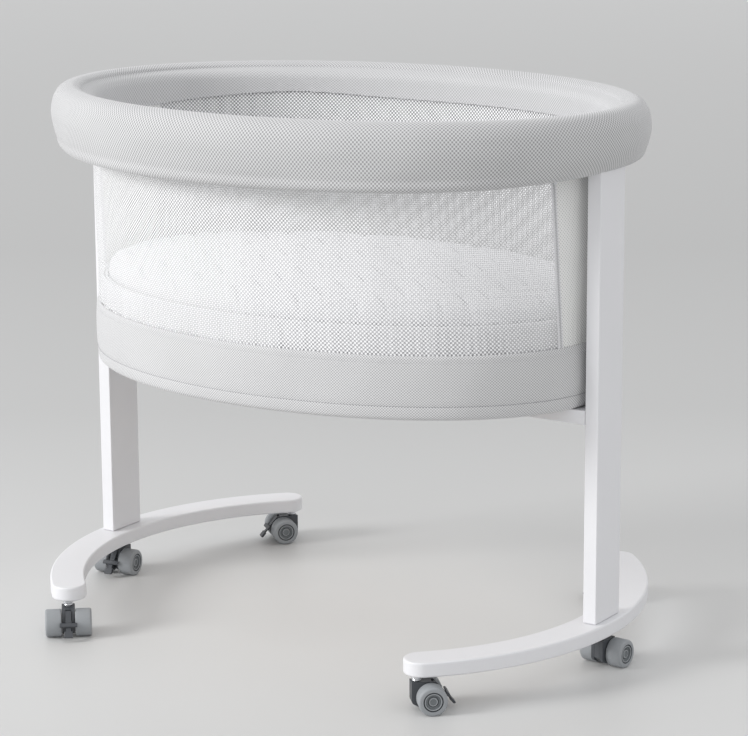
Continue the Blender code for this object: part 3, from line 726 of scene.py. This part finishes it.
def add_walls():
    angle = SEAM_ANGLE_BOTTOM
    edge = ZIP_WIDTH / 2 / hypot(BASE_OVAL[0] * sin(angle), BASE_OVAL[1] * cos(angle)) * 0.75
    walls = [
        ("net_front", NET_FABRIC, front_left, edge, front_right, -edge, 220, 0.001),
        ("net_back", NET_FABRIC, rear_right, 0.0, rear_left, 0.0, 220, 0.001),
        ("end_panel_left", END_MESH, rear_left, 0.0, front_left, -edge, 60, 0.0004),
        ("end_panel_right", END_MESH, front_right, edge, rear_right, tau, 60, 0.0004),
    ]
    for name, finish, *way in walls:
        made = placed(name + "_cloth", wall_sheet(*way), finish, [name], tidy=False)
    for side_name, seam_at in (("left", rear_left), ("right", rear_right)):
        add_wall_strip("rear_seam_tape_" + side_name, seam_at, REAR_TAPE_WIDTH, REAR_TAPE_SKIN, [])
    for name, seam_at in (("zip_left", front_left), ("zip_right", front_right)):
        add_wall_strip(name + "_tape", seam_at, ZIP_WIDTH, ZIP_SKIN, [name])
        add_zip_teeth(name + "_teeth", seam_at)


def wall_frame(seam_at, height):
    """A point on a seam with the ways along it, outwards and across."""
    angle = seam_at(height)
    point = wall_point(angle, height)
    along = (wall_point(seam_at(height - 0.01), height - 0.01) - point).normalized()
    outward = wall_point(angle, height, 1.0) - wall_point(angle, height, 0.0)
    outward = (outward - outward.dot(along) * along).normalized()
    return point, along, outward, outward.cross(along)


def add_wall_strip(name, seam_at, width, thickness, nodes):
    levels = 40
    section = [(-1.0, 0.0), (-0.86, 1.0), (0.86, 1.0), (1.0, 0.0), (0.86, -0.6), (-0.86, -0.6)]
    rows = []
    for level in range(levels + 1):
        height = band_high.z - TAPE_TUCK + (net_high.z - band_high.z + TAPE_TUCK) * level / levels
        point, along, outward, across = wall_frame(seam_at, height)
        rows.append([point + across * (x * width / 2) + outward * (y * thickness) for x, y in section])
    placed(name, skin(rows, close_columns=True, caps=True), ZIP_TAPE, nodes)


def add_zip_teeth(name, seam_at):
    """Two interlocked rows of coil teeth down the middle of the tape."""
    parts = []
    for tooth in range(int((net_high.z - band_high.z) / ZIP_TOOTH)):
        height = band_high.z + 0.001 + tooth * ZIP_TOOTH
        point, along, outward, across = wall_frame(seam_at, height)
        shift = 0.0006 if tooth % 2 else -0.0006
        middle = point + across * shift + outward * (ZIP_SKIN + 0.0002)
        parts.append(block(middle, (across, along, outward), (0.0012, 0.0006, 0.0004)))
    placed(name, merged(parts), ZIP_COIL, slot="zip_tape", smooth_angle=30)


# The slider's parts from its middle: way out, down and across, then half sizes across, down and out.
SLIDER_PARTS = (
    (0.0, 0.0, 0.0, (0.004, 0.0056, 0.0007)),
    (0.0018, -0.0036, 0.0, (0.0012, 0.0012, 0.0012)),
    (0.0018, 0.003, 0.0, (0.0012, 0.0012, 0.0012)),
    (0.0028, 0.0, 0.0, (0.0012, 0.0042, 0.0004)),
    (0.0022, 0.0064, 0.0, (0.0026, 0.001, 0.0005)),
    (0.0022, 0.022, 0.0, (0.0026, 0.0022, 0.0005)),
    (0.0022, 0.0142, 0.002, (0.0006, 0.008, 0.0005)),
    (0.0022, 0.0142, -0.002, (0.0006, 0.008, 0.0005)),
)


def add_zip_slider(side_name, seam_at):
    """Slider body with its bridge and a pull tab with a slot, at the closed end of the zip."""
    node = "zip_slider_" + side_name
    point, down, outward, across = wall_frame(seam_at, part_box(node)[1].z - 0.006)
    base = point + outward * (ZIP_SKIN + 0.0012)
    parts = []
    for out, lower, aside, half in SLIDER_PARTS:
        middle = base + outward * out + down * lower + across * aside
        parts.append(block(middle, (across, down, outward), half))
    made = placed("zip_puller_" + side_name, merged(parts), ZINC, [node], body=node, smooth_angle=30)
    bevelled(made, 0.0003, 2)


# ---- lower band, base hoop and board
BAND_SECTION = [
    (0.0018, 1.0), (0.0028, 0.985), (0.0036, 0.93), (0.003, 0.905), (0.004, 0.87),
    (0.0052, 0.62), (0.005, 0.38), (0.0042, 0.265), (0.0034, 0.235), (0.0038, 0.205),
    (0.003, 0.1), (0.001, 0.04), (-0.005, 0.004), (-0.01, 0.0), (-0.018, 0.0),
    (-0.018, 0.014), (-0.01, 0.014), (-0.004, 0.016), (-0.0014, 0.06), (-0.001, 0.3),
    (-0.001, 0.7), (-0.001, 0.985), (0.0004, 1.0),
]
BAND_COLUMNS = 84
BAND_HEM = 0.905  # shares of the band's height
BAND_LOWER_SEAM = 0.235
BAND_PRESSURE = 2.0
BAND_SWELL = 0.0018
STITCH_HALF = (0.0011, 0.0003, 0.0003)


def add_ring_stitches(name, cover, height, count, finish):
    """A round of stitches lying on the outside of a cover at one height."""
    surface = evaluated(cover)
    spots = []
    for angle in round_angles(count):
        outside = oval_spot(BASE_OVAL, angle, 0.03, height)
        inward = oval_spot(BASE_OVAL, angle, 0.0, height) - outside
        spot, out = surface.ray_cast(outside, inward)[1:3]
        spots.append((spot + out * 0.0001, out.normalized()))
    parts = []
    for i, (spot, out) in enumerate(spots):
        along = (spots[(i + 1) % count][0] - spots[i - 1][0]).normalized()
        parts.append(block(spot, (along, out.cross(along), out), STITCH_HALF))
    placed(name, merged(parts), finish, slot="band_fabric")


def add_band():
    height = band_high.z - band_low.z
    bottom = band_low.z
    section = smooth_closed(BAND_SECTION, BAND_COLUMNS, bottom, height)

    def section_at(angle):
        points = []
        for point in section:
            share = (point.y - bottom) / height
            swell = 0.0008 * ring_noise(angle, 7, 20 * point.y)
            at_seam = bump(share, BAND_LOWER_SEAM, 0.05) + bump(share, BAND_HEM, 0.05)
            pucker = 0.0003 * at_seam * sin(angle * 170.0)
            points.append((point.x + (swell + pucker) * (point.x > 0.0), point.y))
        return points

    def stays(point):
        share = (point.y - bottom) / height
        at_seam = min(abs(share - BAND_HEM), abs(share - BAND_LOWER_SEAM)) < 0.02
        return point.x < 0.0015 or at_seam or share > 0.97

    ring = oval_ring(BASE_OVAL, section_at, pitch=BAND_PITCH)
    made = placed("band_cover", ring, BAND_FABRIC, ["lower_band"])
    puffed(made, held_rings(section, stays), BAND_PRESSURE, BAND_SWELL)
    subdivided(made)
    add_ring_stitches("band_hem_stitches", made, bottom + BAND_HEM * height, 620, PALE_THREAD)
    add_ring_stitches("band_seam_stitches", made, bottom + BAND_LOWER_SEAM * height, 560, DARK_THREAD)


def oval_disc(oval, offset, bottom, top, round_edge):
    """A flat oval plate with rounded edges."""
    rows = []
    for base, way, turns in ((bottom, 1, (0, 30, 60, 90)), (top, -1, (90, 60, 30, 0))):
        for turn in (radians(degrees) for degrees in turns):
            inset = offset - round_edge * (1 - sin(turn))
            height = base + way * round_edge * (1 - cos(turn))
            rows.append([oval_spot(oval, angle, inset, height) for angle in round_angles(RING_STEPS)])
    return skin(rows, close_columns=True, caps=True)


def add_base():
    tube_offset = base_high.x - BASE_OVAL[0] - BASE_HOOP_RADIUS
    placed("base_tube", oval_tube(BASE_OVAL, tube_offset, BASE_HOOP_HEIGHT, BASE_HOOP_RADIUS), HOOP_METAL,
           ["base_hoop"])
    board = oval_disc(BASE_OVAL, -WALL_OVER_BOARD, board_low.z, board_high.z, 0.0015)
    placed("base_panel", board, RAW_WOOD, ["base_board"])


# ---- bedding
BED_VOXEL = 0.006
MATTRESS_IN = 0.013  # how far mattress and quilt stand in from the wall's foot
QUILT_IN = 0.0115
QUILT_CROWN = 0.004  # the quilt's middle stands this much higher
QUILT_CELL = 0.052  # between two quilting lines
QUILT_STITCH = 0.0052
QUILT_DIP = 0.006  # depth of the quilting
QUILT_TOP_FROM = 0.35  # share of the quilt's height where its quilted top begins
QUILTED_IN = 0.036  # the quilting's thread starts this far in from the wall's foot
VALANCE_STEPS = 1500
VALANCE_OFFSET = -0.0062
VALANCE_HALF = 0.002  # half its thickness
PIPING_RADIUS = 0.002


def soft_pad(name, node, finish, bottom, top, inset, round_edge, pressure, most, crown=0.0):
    """An oval pad, remeshed, swollen by cloth pressure and crowned a little towards its middle."""
    disc = oval_disc(BASE_OVAL, -inset, bottom, top, round_edge)
    made = placed(name, disc, finish, [node], body="bedding")
    remesh = made.modifiers.new("remesh", "REMESH")
    remesh.mode = "VOXEL"
    remesh.voxel_size = BED_VOXEL
    mesh = baked(made)
    puffed(made, [vertex.index for vertex in mesh.vertices if vertex.co.z < bottom + 0.002], pressure, most)
    for vertex in mesh.vertices:
        reach = hypot(vertex.co.x / BASE_OVAL[0], vertex.co.y / BASE_OVAL[1])
        share = max(0.0, (vertex.co.z - bottom) / (top - bottom))
        vertex.co.z += crown * share * (1.0 - reach ** 2)
    mesh.shade_smooth()
    return made


def quilting(x, y):
    """Distance to the nearest zigzag quilting line; the lines run along the crib's length."""
    zigzag = abs(((x / QUILT_CELL) % 2.0) - 1.0) * QUILT_CELL
    return abs(((y + zigzag) / QUILT_CELL + 0.5) % 1.0 - 0.5) * QUILT_CELL


def press_quilting(mesh):
    """Press the zigzag lines into the quilt's top and gather its sides."""
    for vertex in mesh.vertices:
        x, y, z = vertex.co
        level = (z - quilt_low.z) / (quilt_high.z - quilt_low.z)
        if level > QUILT_TOP_FROM:
            dip = QUILT_DIP * bump(quilting(x, y), 0.0, 0.005) * min(1.0, (level - QUILT_TOP_FROM) * 4)
            fold = 0.002 * noise.noise(Vector((x * 14, y * 14, 2.0)))
            vertex.co.z += fold - dip
        else:
            gathers = 0.0012 * sin(atan2(y, x) * 70.0)
            vertex.co += Vector((x, y, 0.0)).normalized() * gathers * min(1.0, level * 4 + 0.1)
    mesh.shade_smooth()


def add_bedding():
    mattress = soft_pad("mattress_pad", "mattress", BED_COTTON, mattress_low.z, mattress_high.z - 0.002,
                        MATTRESS_IN, round_edge=0.014, pressure=2.0, most=0.003)
    quilt = soft_pad("quilt_pad", "quilt", QUILT_COTTON, quilt_low.z + 0.0005, quilt_high.z - 0.008,
                     QUILT_IN, round_edge=0.016, pressure=3.0, most=0.005, crown=QUILT_CROWN)
    subdivided(quilt)
    press_quilting(baked(quilt))
    add_quilt_stitches(quilt)
    add_valance()
    pipings = (
        ("mattress_edge_top", mattress_high.z - 0.012, "bed_cotton", -0.0112),
        ("mattress_edge_low", mattress_low.z + 0.012, "bed_cotton", -0.0112),
        ("quilt_edge", quilt_low.z + 0.014, "quilt_cotton", -0.0125),
    )
    for name, height, slot, offset in pipings:
        tube = oval_tube(BASE_OVAL, offset, height, PIPING_RADIUS, 10)
        placed(name + "_piping", tube, PIPING, body="bedding", slot=slot)


def add_valance():
    """The quilt's edge, which hangs in soft folds over the mattress's side down to the band."""
    low = band_high.z - 0.011
    high = quilt_low.z + 0.016

    def section_at(angle):
        broad = 0.0014 * sin(angle * 46.0 + 2.0 * sin(angle * 5.0))
        patch = max(0.15, min(1.0, 1.8 * (ring_noise(angle, 7) + 0.3)))
        fold = broad + 0.0015 * patch * sin(angle * 150.0 + 3.0 * sin(angle * 11.0))
        hem = low + 0.0015 * sin(angle * 17.0)
        spine = [(0.2, high), (0.7, 0.5 * (high + hem)), (1.0, hem)]
        spine = [(VALANCE_OFFSET + fold * share, z) for share, z in spine]
        outer = [(x + VALANCE_HALF, z) for x, z in spine]
        inner = [(x - VALANCE_HALF, z) for x, z in reversed(spine)]
        tip = (spine[2][0], hem - VALANCE_HALF / 2)
        return outer + [tip] + inner + [(spine[0][0], high + VALANCE_HALF / 2)]

    ring = oval_ring(BASE_OVAL, section_at, steps=VALANCE_STEPS)
    made = placed("quilt_valance", ring, QUILT_COTTON, body="bedding")


def add_quilt_stitches(quilt):
    """Pale thread laid in the zigzag grooves of the quilt's top."""
    surface = evaluated(quilt)
    parts = []
    rows = int(BASE_OVAL[1] / QUILT_CELL) + 2
    columns = int(BASE_OVAL[0] / QUILT_STITCH) + 2
    for row in range(-rows, rows + 1):
        for column in range(-columns, columns + 1):
            x = column * QUILT_STITCH
            phase = (x / QUILT_CELL) % 2.0
            y = row * QUILT_CELL - abs(phase - 1.0) * QUILT_CELL
            if hypot(x / (BASE_OVAL[0] - QUILTED_IN), y / (BASE_OVAL[1] - QUILTED_IN)) > 1.0:
                continue
            hit, spot, normal = surface.ray_cast(Vector((x, y, quilt_high.z + 0.1)), -UP)[:3]
            if not hit:
                continue
            slope = Vector((1.0, 1.0 if phase < 1.0 else -1.0, 0.0)).normalized()
            along = (slope - slope.dot(normal) * normal).normalized()
            axes = (along, normal.cross(along), normal)
            parts.append(block(spot + normal * 0.0002, axes, (0.0017, 0.0004, 0.0004)))
    placed("quilt_stitches", merged(parts), PIPING, body="bedding", slot="quilt_cotton", smooth_angle=30)


# ---- casters
def joint_spot(name):
    return next(Vector(joint["pos_m"]) for joint in frame["joints"] if joint["name"] == name)


def caster_frame(name):
    """A caster's place and heading, its axle's way behind the stem and height, from its joints."""
    stem, axle = (joint_spot(name + ending) for ending in ("_swivel", "_roll_left"))
    forward = Vector((axle.x - stem.x, axle.y - stem.y, 0.0))
    trail = forward.length
    forward.normalize()
    across = UP.cross(forward)
    place = Matrix((forward, across, UP)).transposed().to_4x4()
    place.translation = Vector((stem.x, stem.y, 0.0))
    return place, trail, axle.z


wheel_low, wheel_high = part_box("front_left_caster_wheel_left")
fork_low, fork_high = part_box("front_left_caster_fork")
foot_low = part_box("foot_left")[0]
WHEEL_RADIUS = (wheel_high.z - wheel_low.z) / 2
WHEEL_WIDTH = 0.0238
TRACK_HALF = 0.0103
FORK_HALF = TRACK_HALF - 0.0006
FORK_TOP = fork_high.z
FORK_LOW = fork_low.z


BORE_RADIUS = 0.0032
WHEEL_SHOULDER = 0.0032
# The wheel's outer face, from its shoulder inwards: share of the radius, and depth in the face.
WHEEL_FACE = (
    (0.69, 0.0), (0.668, 0.0004), (0.655, 0.003), (0.605, 0.003), (0.598, 0.0008), (0.585, 0.0004),
    (0.53, 0.0004), (0.515, 0.001), (0.5, 0.003), (0.37, 0.0032), (0.362, 0.0042), (0.318, 0.0042),
    (0.31, 0.0024), (0.29, 0.0018), (0.225, 0.0018), (0.215, 0.0026), (0.19, 0.0028), (0.02, 0.0027),
    (0.018, 0.006),
)
FACE_SHARE = 0.68  # the hub's greys lie inside this share of the radius
DARK_RINGS = ((0.6, 0.675), (0.315, 0.368))
PALE_RINGS = ((0.52, 0.6), (0.22, 0.312))


def wheel_mesh(name):
    """A wheel seen from outside: rounded tread, flat shoulder, dark groove, raised ring, dish and boss."""
    radius = WHEEL_RADIUS
    inner = TRACK_HALF
    outer = TRACK_HALF + WHEEL_WIDTH
    profile = [(BORE_RADIUS, inner), (radius - 0.0012, inner), (radius - 0.0002, inner + 0.0009),
               (radius, inner + 0.0022)]
    for step in range(9):
        a = radians(90.0 * step / 8)
        inset = WHEEL_SHOULDER * (1 - cos(a))
        profile.append((radius - inset, outer - WHEEL_SHOULDER * (1 - sin(a))))
    profile += [(share * radius, outer - depth) for share, depth in WHEEL_FACE]
    profile.append((BORE_RADIUS, outer - WHEEL_FACE[-1][1]))
    mesh = finish_mesh(name, turned(profile, 96))
    tread, hub, groove = range(3)
    for finish in (TREAD_GREY, HUB_GREY, GROOVE_GREY):
        mesh.materials.append(finish)
    for polygon in mesh.polygons:
        reach = hypot(polygon.center.x, polygon.center.y) / radius
        if polygon.center.z > inner + WHEEL_WIDTH / 2 and reach < FACE_SHARE:
            polygon.material_index = hub
            if any(low < reach < high for low, high in DARK_RINGS):
                polygon.material_index = groove
            elif any(low < reach < high for low, high in PALE_RINGS):
                polygon.material_index = tread
    return mesh


def side_plate(outline, low, high):
    """A plate in the plane of the wheels, from (along, height) points, between two widths."""
    rows = [[Vector((along, y, height)) for along, height in outline] for y in (low, high)]
    return skin(rows, close_columns=True, caps=True)


def fork_mesh(name, trail):
    """The fork's housing: two cheeks with a slot between them at the front for the brake lever."""
    nose = trail + 0.0128
    back = -0.0083
    top = FORK_TOP - 0.0002
    chin = FORK_LOW
    cheek = [
        (back, top), (back, chin + 0.0095), (back + 0.0018, chin + 0.0058), (back + 0.01, chin + 0.0012),
        (back + 0.0135, chin), (nose - 0.0085, chin), (nose - 0.002, chin + 0.004), (nose, chin + 0.01),
        (nose, top - 0.0175), (nose - 0.001, top - 0.0145), (nose - 0.0062, top - 0.001),
        (nose - 0.0075, top),
    ]
    core_nose = nose - 0.0112  # room for the lever's heel when the brake is let go
    core = [
        (back + 0.0004, top - 0.0004), (back + 0.0004, chin + 0.0105), (back + 0.011, chin + 0.0012),
        (core_nose, chin + 0.0012), (core_nose, top - 0.017), (core_nose + 0.0008, top - 0.0004),
    ]
    slot_half = 0.0045
    parts = [side_plate(cheek, -FORK_HALF, -slot_half), side_plate(cheek, slot_half, FORK_HALF),
             side_plate(core, -slot_half - 0.0005, slot_half + 0.0005)]
    return finish_mesh(name, merged(parts))


# The brake lever's plates: half width, then the outline as share of its reach, way along and lift.
LEVER_PLATES = (
    (0.0042, ((0, 0, 0), (0, 0, -0.0024), (0.5, 0, -0.003), (0.5, 0, 0), (0.25, 0, 0.0004))),
    (0.0037, ((0.42, 0, 0), (0.42, 0, -0.0026), (1, 0, -0.0022), (1, 0, -0.0002))),
    (0.013, ((0.57, -0.003, 0.0002), (0.57, -0.0034, 0.002), (0.57, -0.002, 0.0032),
              (0.57, 0.0024, 0.003), (0.57, 0.0036, 0.0016), (0.57, 0.0028, 0))),
    (0.0062, ((1, -0.0086, 0.0008), (1, -0.0086, -0.0028), (1, 0, -0.003), (1, 0.0016, -0.0012),
              (1, 0.001, 0.0006))),
)


def lever_mesh(name, trail):
    """Brake lever: arm out of the fork's top, a tongue, a bar in front of the treads, and a tab."""
    start = Vector((trail + 0.0072, FORK_TOP - 0.001))
    tip = Vector((trail + 0.0346, 0.0092))
    slope = (tip - start).normalized()
    out = Vector((-slope.y, slope.x))
    reach = (tip - start).length
    parts = []
    for half, points in LEVER_PLATES:
        outline = [start + slope * (share * reach + along) + out * lift for share, along, lift in points]
        parts.append(side_plate(outline, -half, half))
    return finish_mesh(name, merged(parts))


# The stem as radius and height, first over the fork's top, then over the collar's top.
STEM_LOW = (
    (0.0038, -0.009), (0.004, -0.0088), (0.004, 0.0006), (0.0062, 0.001), (0.0066, 0.0016),
    (0.0062, 0.0024), (0.006, 0.003), (0.0068, 0.0032), (0.0075, 0.004),
)
STEM_HIGH = (
    (0.0075, -0.0022), (0.0086, -0.0018), (0.0088, -0.0006), (0.0084, 0.0), (0.004, 0.0),
    (0.004, 0.017), (0.0034, 0.0178),
)


def stem_mesh(name):
    """Zinc stem: pin, flanged neck, domed collar under the foot and an end up inside it."""
    collar_top = foot_low.z - 0.0003
    levels = [(radius, FORK_TOP + height) for radius, height in STEM_LOW]
    levels += [(radius, collar_top + height) for radius, height in STEM_HIGH]
    return finish_mesh(name, stacked_discs(levels))


def axle_mesh(name):
    cap = 0.0016 / 4
    reach = TRACK_HALF + WHEEL_WIDTH - 0.007
    levels = [(0.0024, -reach - cap), (0.003, -reach + cap), (0.003, reach - cap), (0.0024, reach + cap)]
    return finish_mesh(name, stacked_discs(levels))


def caster_piece(name, mesh, finish, place, body, node, bevel=0.0, slot=None):
    made = piece(name, mesh, finish, [node], body, slot, 32, place)
    if bevel:
        bevelled(made, bevel, 2)


def add_casters():
    trail = caster_frame(CASTERS[0])[1]
    wheel = wheel_mesh("caster_wheel")
    fork = fork_mesh("caster_fork", trail)
    lever = lever_mesh("caster_lever", trail)
    stem = stem_mesh("caster_stem")
    axle = axle_mesh("caster_axle")
    for name in CASTERS:
        place, trail, axle_height = caster_frame(name)
        hub = place @ Matrix.Translation((trail, 0.0, axle_height)) @ Matrix.Rotation(-pi / 2, 4, "X")
        node = name + "_caster_"
        fork_body = name + "_fork"
        brake_body = name + "_brake"
        caster_piece(name + "_stem", stem, ZINC, place, "root", node + "stem")
        caster_piece(name + "_housing", fork, DARK_PLASTIC, place, fork_body, node + "fork", 0.0006)
        caster_piece(name + "_axle_pin", axle, ZINC, hub, fork_body, node + "axle")
        caster_piece(name + "_lever", lever, DARK_PLASTIC, place, brake_body, node + "brake_lever", 0.0004)
        for side_name, turn in (("left", 0.0), ("right", pi)):
            facing = hub @ Matrix.Rotation(turn, 4, "Y")
            wheel_body = name + "_wheel_" + side_name
            caster_piece(name + "_tyre_" + side_name, wheel, TREAD_GREY, facing, wheel_body,
                         node + "wheel_" + side_name, slot="wheel_grey")


def finish_nodes():
    """The CAD nodes that stay: plain hidden fittings with their own materials."""
    for side_name in ("left", "right"):
        for node, finish in (("hoop_bracket_", BRACKET_PLASTIC), ("crossbar_dowel_", RAW_WOOD)):
            mesh = frame["nodes"][node + side_name].data
            mesh.materials.clear()
            mesh.materials.append(finish)


# ---- floor, light and camera
# Painted shade: the studio floor's grey along its depth, from just before the crib to far behind it, darker
# behind the crib for the light's fall-off and paler far off.
FLOOR_SHADE_GREYS = ((0.0, 0.61), (0.15, 0.6), (0.235, 0.475), (0.36, 0.44), (0.9, 0.575))
FLOOR_WAY = (-0.554, 0.8325, 0.0)  # into the depth, as the camera looks
FLOOR_RANGE = (-2.0, 12.0)
PAINTED_LIGHT_CENTRE = (-0.03, -0.05, 0.0)  # painted light: the floor is made a little paler under the crib, lifting the crib's shadow there
PAINTED_LIGHT_START = 0.15
PAINTED_LIGHT_REACH = 0.6
PAINTED_LIGHT_GAIN = 0.17
WORLD_COLOUR = (0.985, 0.99, 1.0, 1.0)
WORLD_STRENGTH = 0.885
KEY_PLACE = (-5.6, -6.65, 4.0)
KEY_TARGET = (0.0, 0.0, 0.4)
KEY_SIZE = 3.4
KEY_POWER = 555.0
CAMERA_PLACE = (2.18509, -3.22172, 1.2836)
CAMERA_TURN = (33.65, 12.53, -0.354)  # yaw, pitch and roll in degrees
CAMERA_LENS = 129.7
CAMERA_SHIFT = (0.0071, -0.0307)


def vector_value(made, operation, vector, constant):
    node = add_node(made, "VectorMath")
    node.operation = operation
    join(made, vector, node.inputs[0])
    node.inputs[1].default_value = constant
    return node.outputs["Value"]


def add_stage():
    ground = new_material("studio_floor", 0.45)
    place = add_node(ground, "TexCoord").outputs["Object"]
    depth = vector_value(ground, "DOT_PRODUCT", place, FLOOR_WAY)
    away = vector_value(ground, "DISTANCE", place, PAINTED_LIGHT_CENTRE)
    lit = add_node(ground, "VectorMath")
    lit.operation = "SCALE"
    # painted shade: the floor's grey follows the depth ramp, darker behind the crib
    join(ground, ramp(ground, spread(ground, depth, *FLOOR_RANGE), FLOOR_SHADE_GREYS), lit.inputs[0])
    # painted light: the floor's grey is made paler near the crib
    gain = spread(ground, away, PAINTED_LIGHT_START, PAINTED_LIGHT_REACH, 1.0 + PAINTED_LIGHT_GAIN, 1.0)
    join(ground, gain, lit.inputs["Scale"])
    join(ground, lit.outputs["Vector"], shader_input(ground, "Base Color"))
    relief(ground, speckle(ground, 60.0), 0.02, 0.001)
    bm = bmesh.new()
    bmesh.ops.create_circle(bm, cap_ends=True, segments=96, radius=60.0)
    floor = add_object("floor", finish_mesh("floor", bm), ground, IN_PLACE, 35.0)


def add_lights():
    world = bpy.data.worlds.new("studio")
    world.use_nodes = True
    back = world.node_tree.nodes["Background"]
    back.inputs["Color"].default_value = WORLD_COLOUR
    back.inputs["Strength"].default_value = WORLD_STRENGTH
    bpy.context.scene.world = world
    key = bpy.data.lights.new("key", "AREA")
    key.shape = "DISK"
    key.size = KEY_SIZE
    key.energy = KEY_POWER
    light = bpy.data.objects.new("key", key)
    light.location = KEY_PLACE
    light.rotation_euler = (Vector(KEY_TARGET) - Vector(KEY_PLACE)).to_track_quat("-Z", "Y").to_euler()
    bpy.context.scene.collection.objects.link(light)


def add_camera():
    """A long lens from the front right, a little above the rim."""
    yaw, pitch, roll = (radians(value) for value in CAMERA_TURN)
    data = bpy.data.cameras.new("camera")
    data.lens = CAMERA_LENS
    data.sensor_width = 36.0
    data.shift_x, data.shift_y = CAMERA_SHIFT
    camera = bpy.data.objects.new("camera", data)
    heading = Matrix.Translation(CAMERA_PLACE) @ Matrix.Rotation(yaw, 4, "Z")
    camera.matrix_world = heading @ Matrix.Rotation(pi / 2 - pitch, 4, "X") @ Matrix.Rotation(roll, 4, "Z")
    bpy.context.scene.collection.objects.link(camera)
    bpy.context.scene.camera = camera
    bpy.context.scene.view_settings.view_transform = "Standard"


add_camera()
add_stage()
add_lights()
add_boards()
add_bolster()
add_rim_lining()
add_band()
add_base()
add_walls()
add_zip_slider("left", front_left)
add_zip_slider("right", front_right)
add_bedding()
add_casters()
finish_nodes()
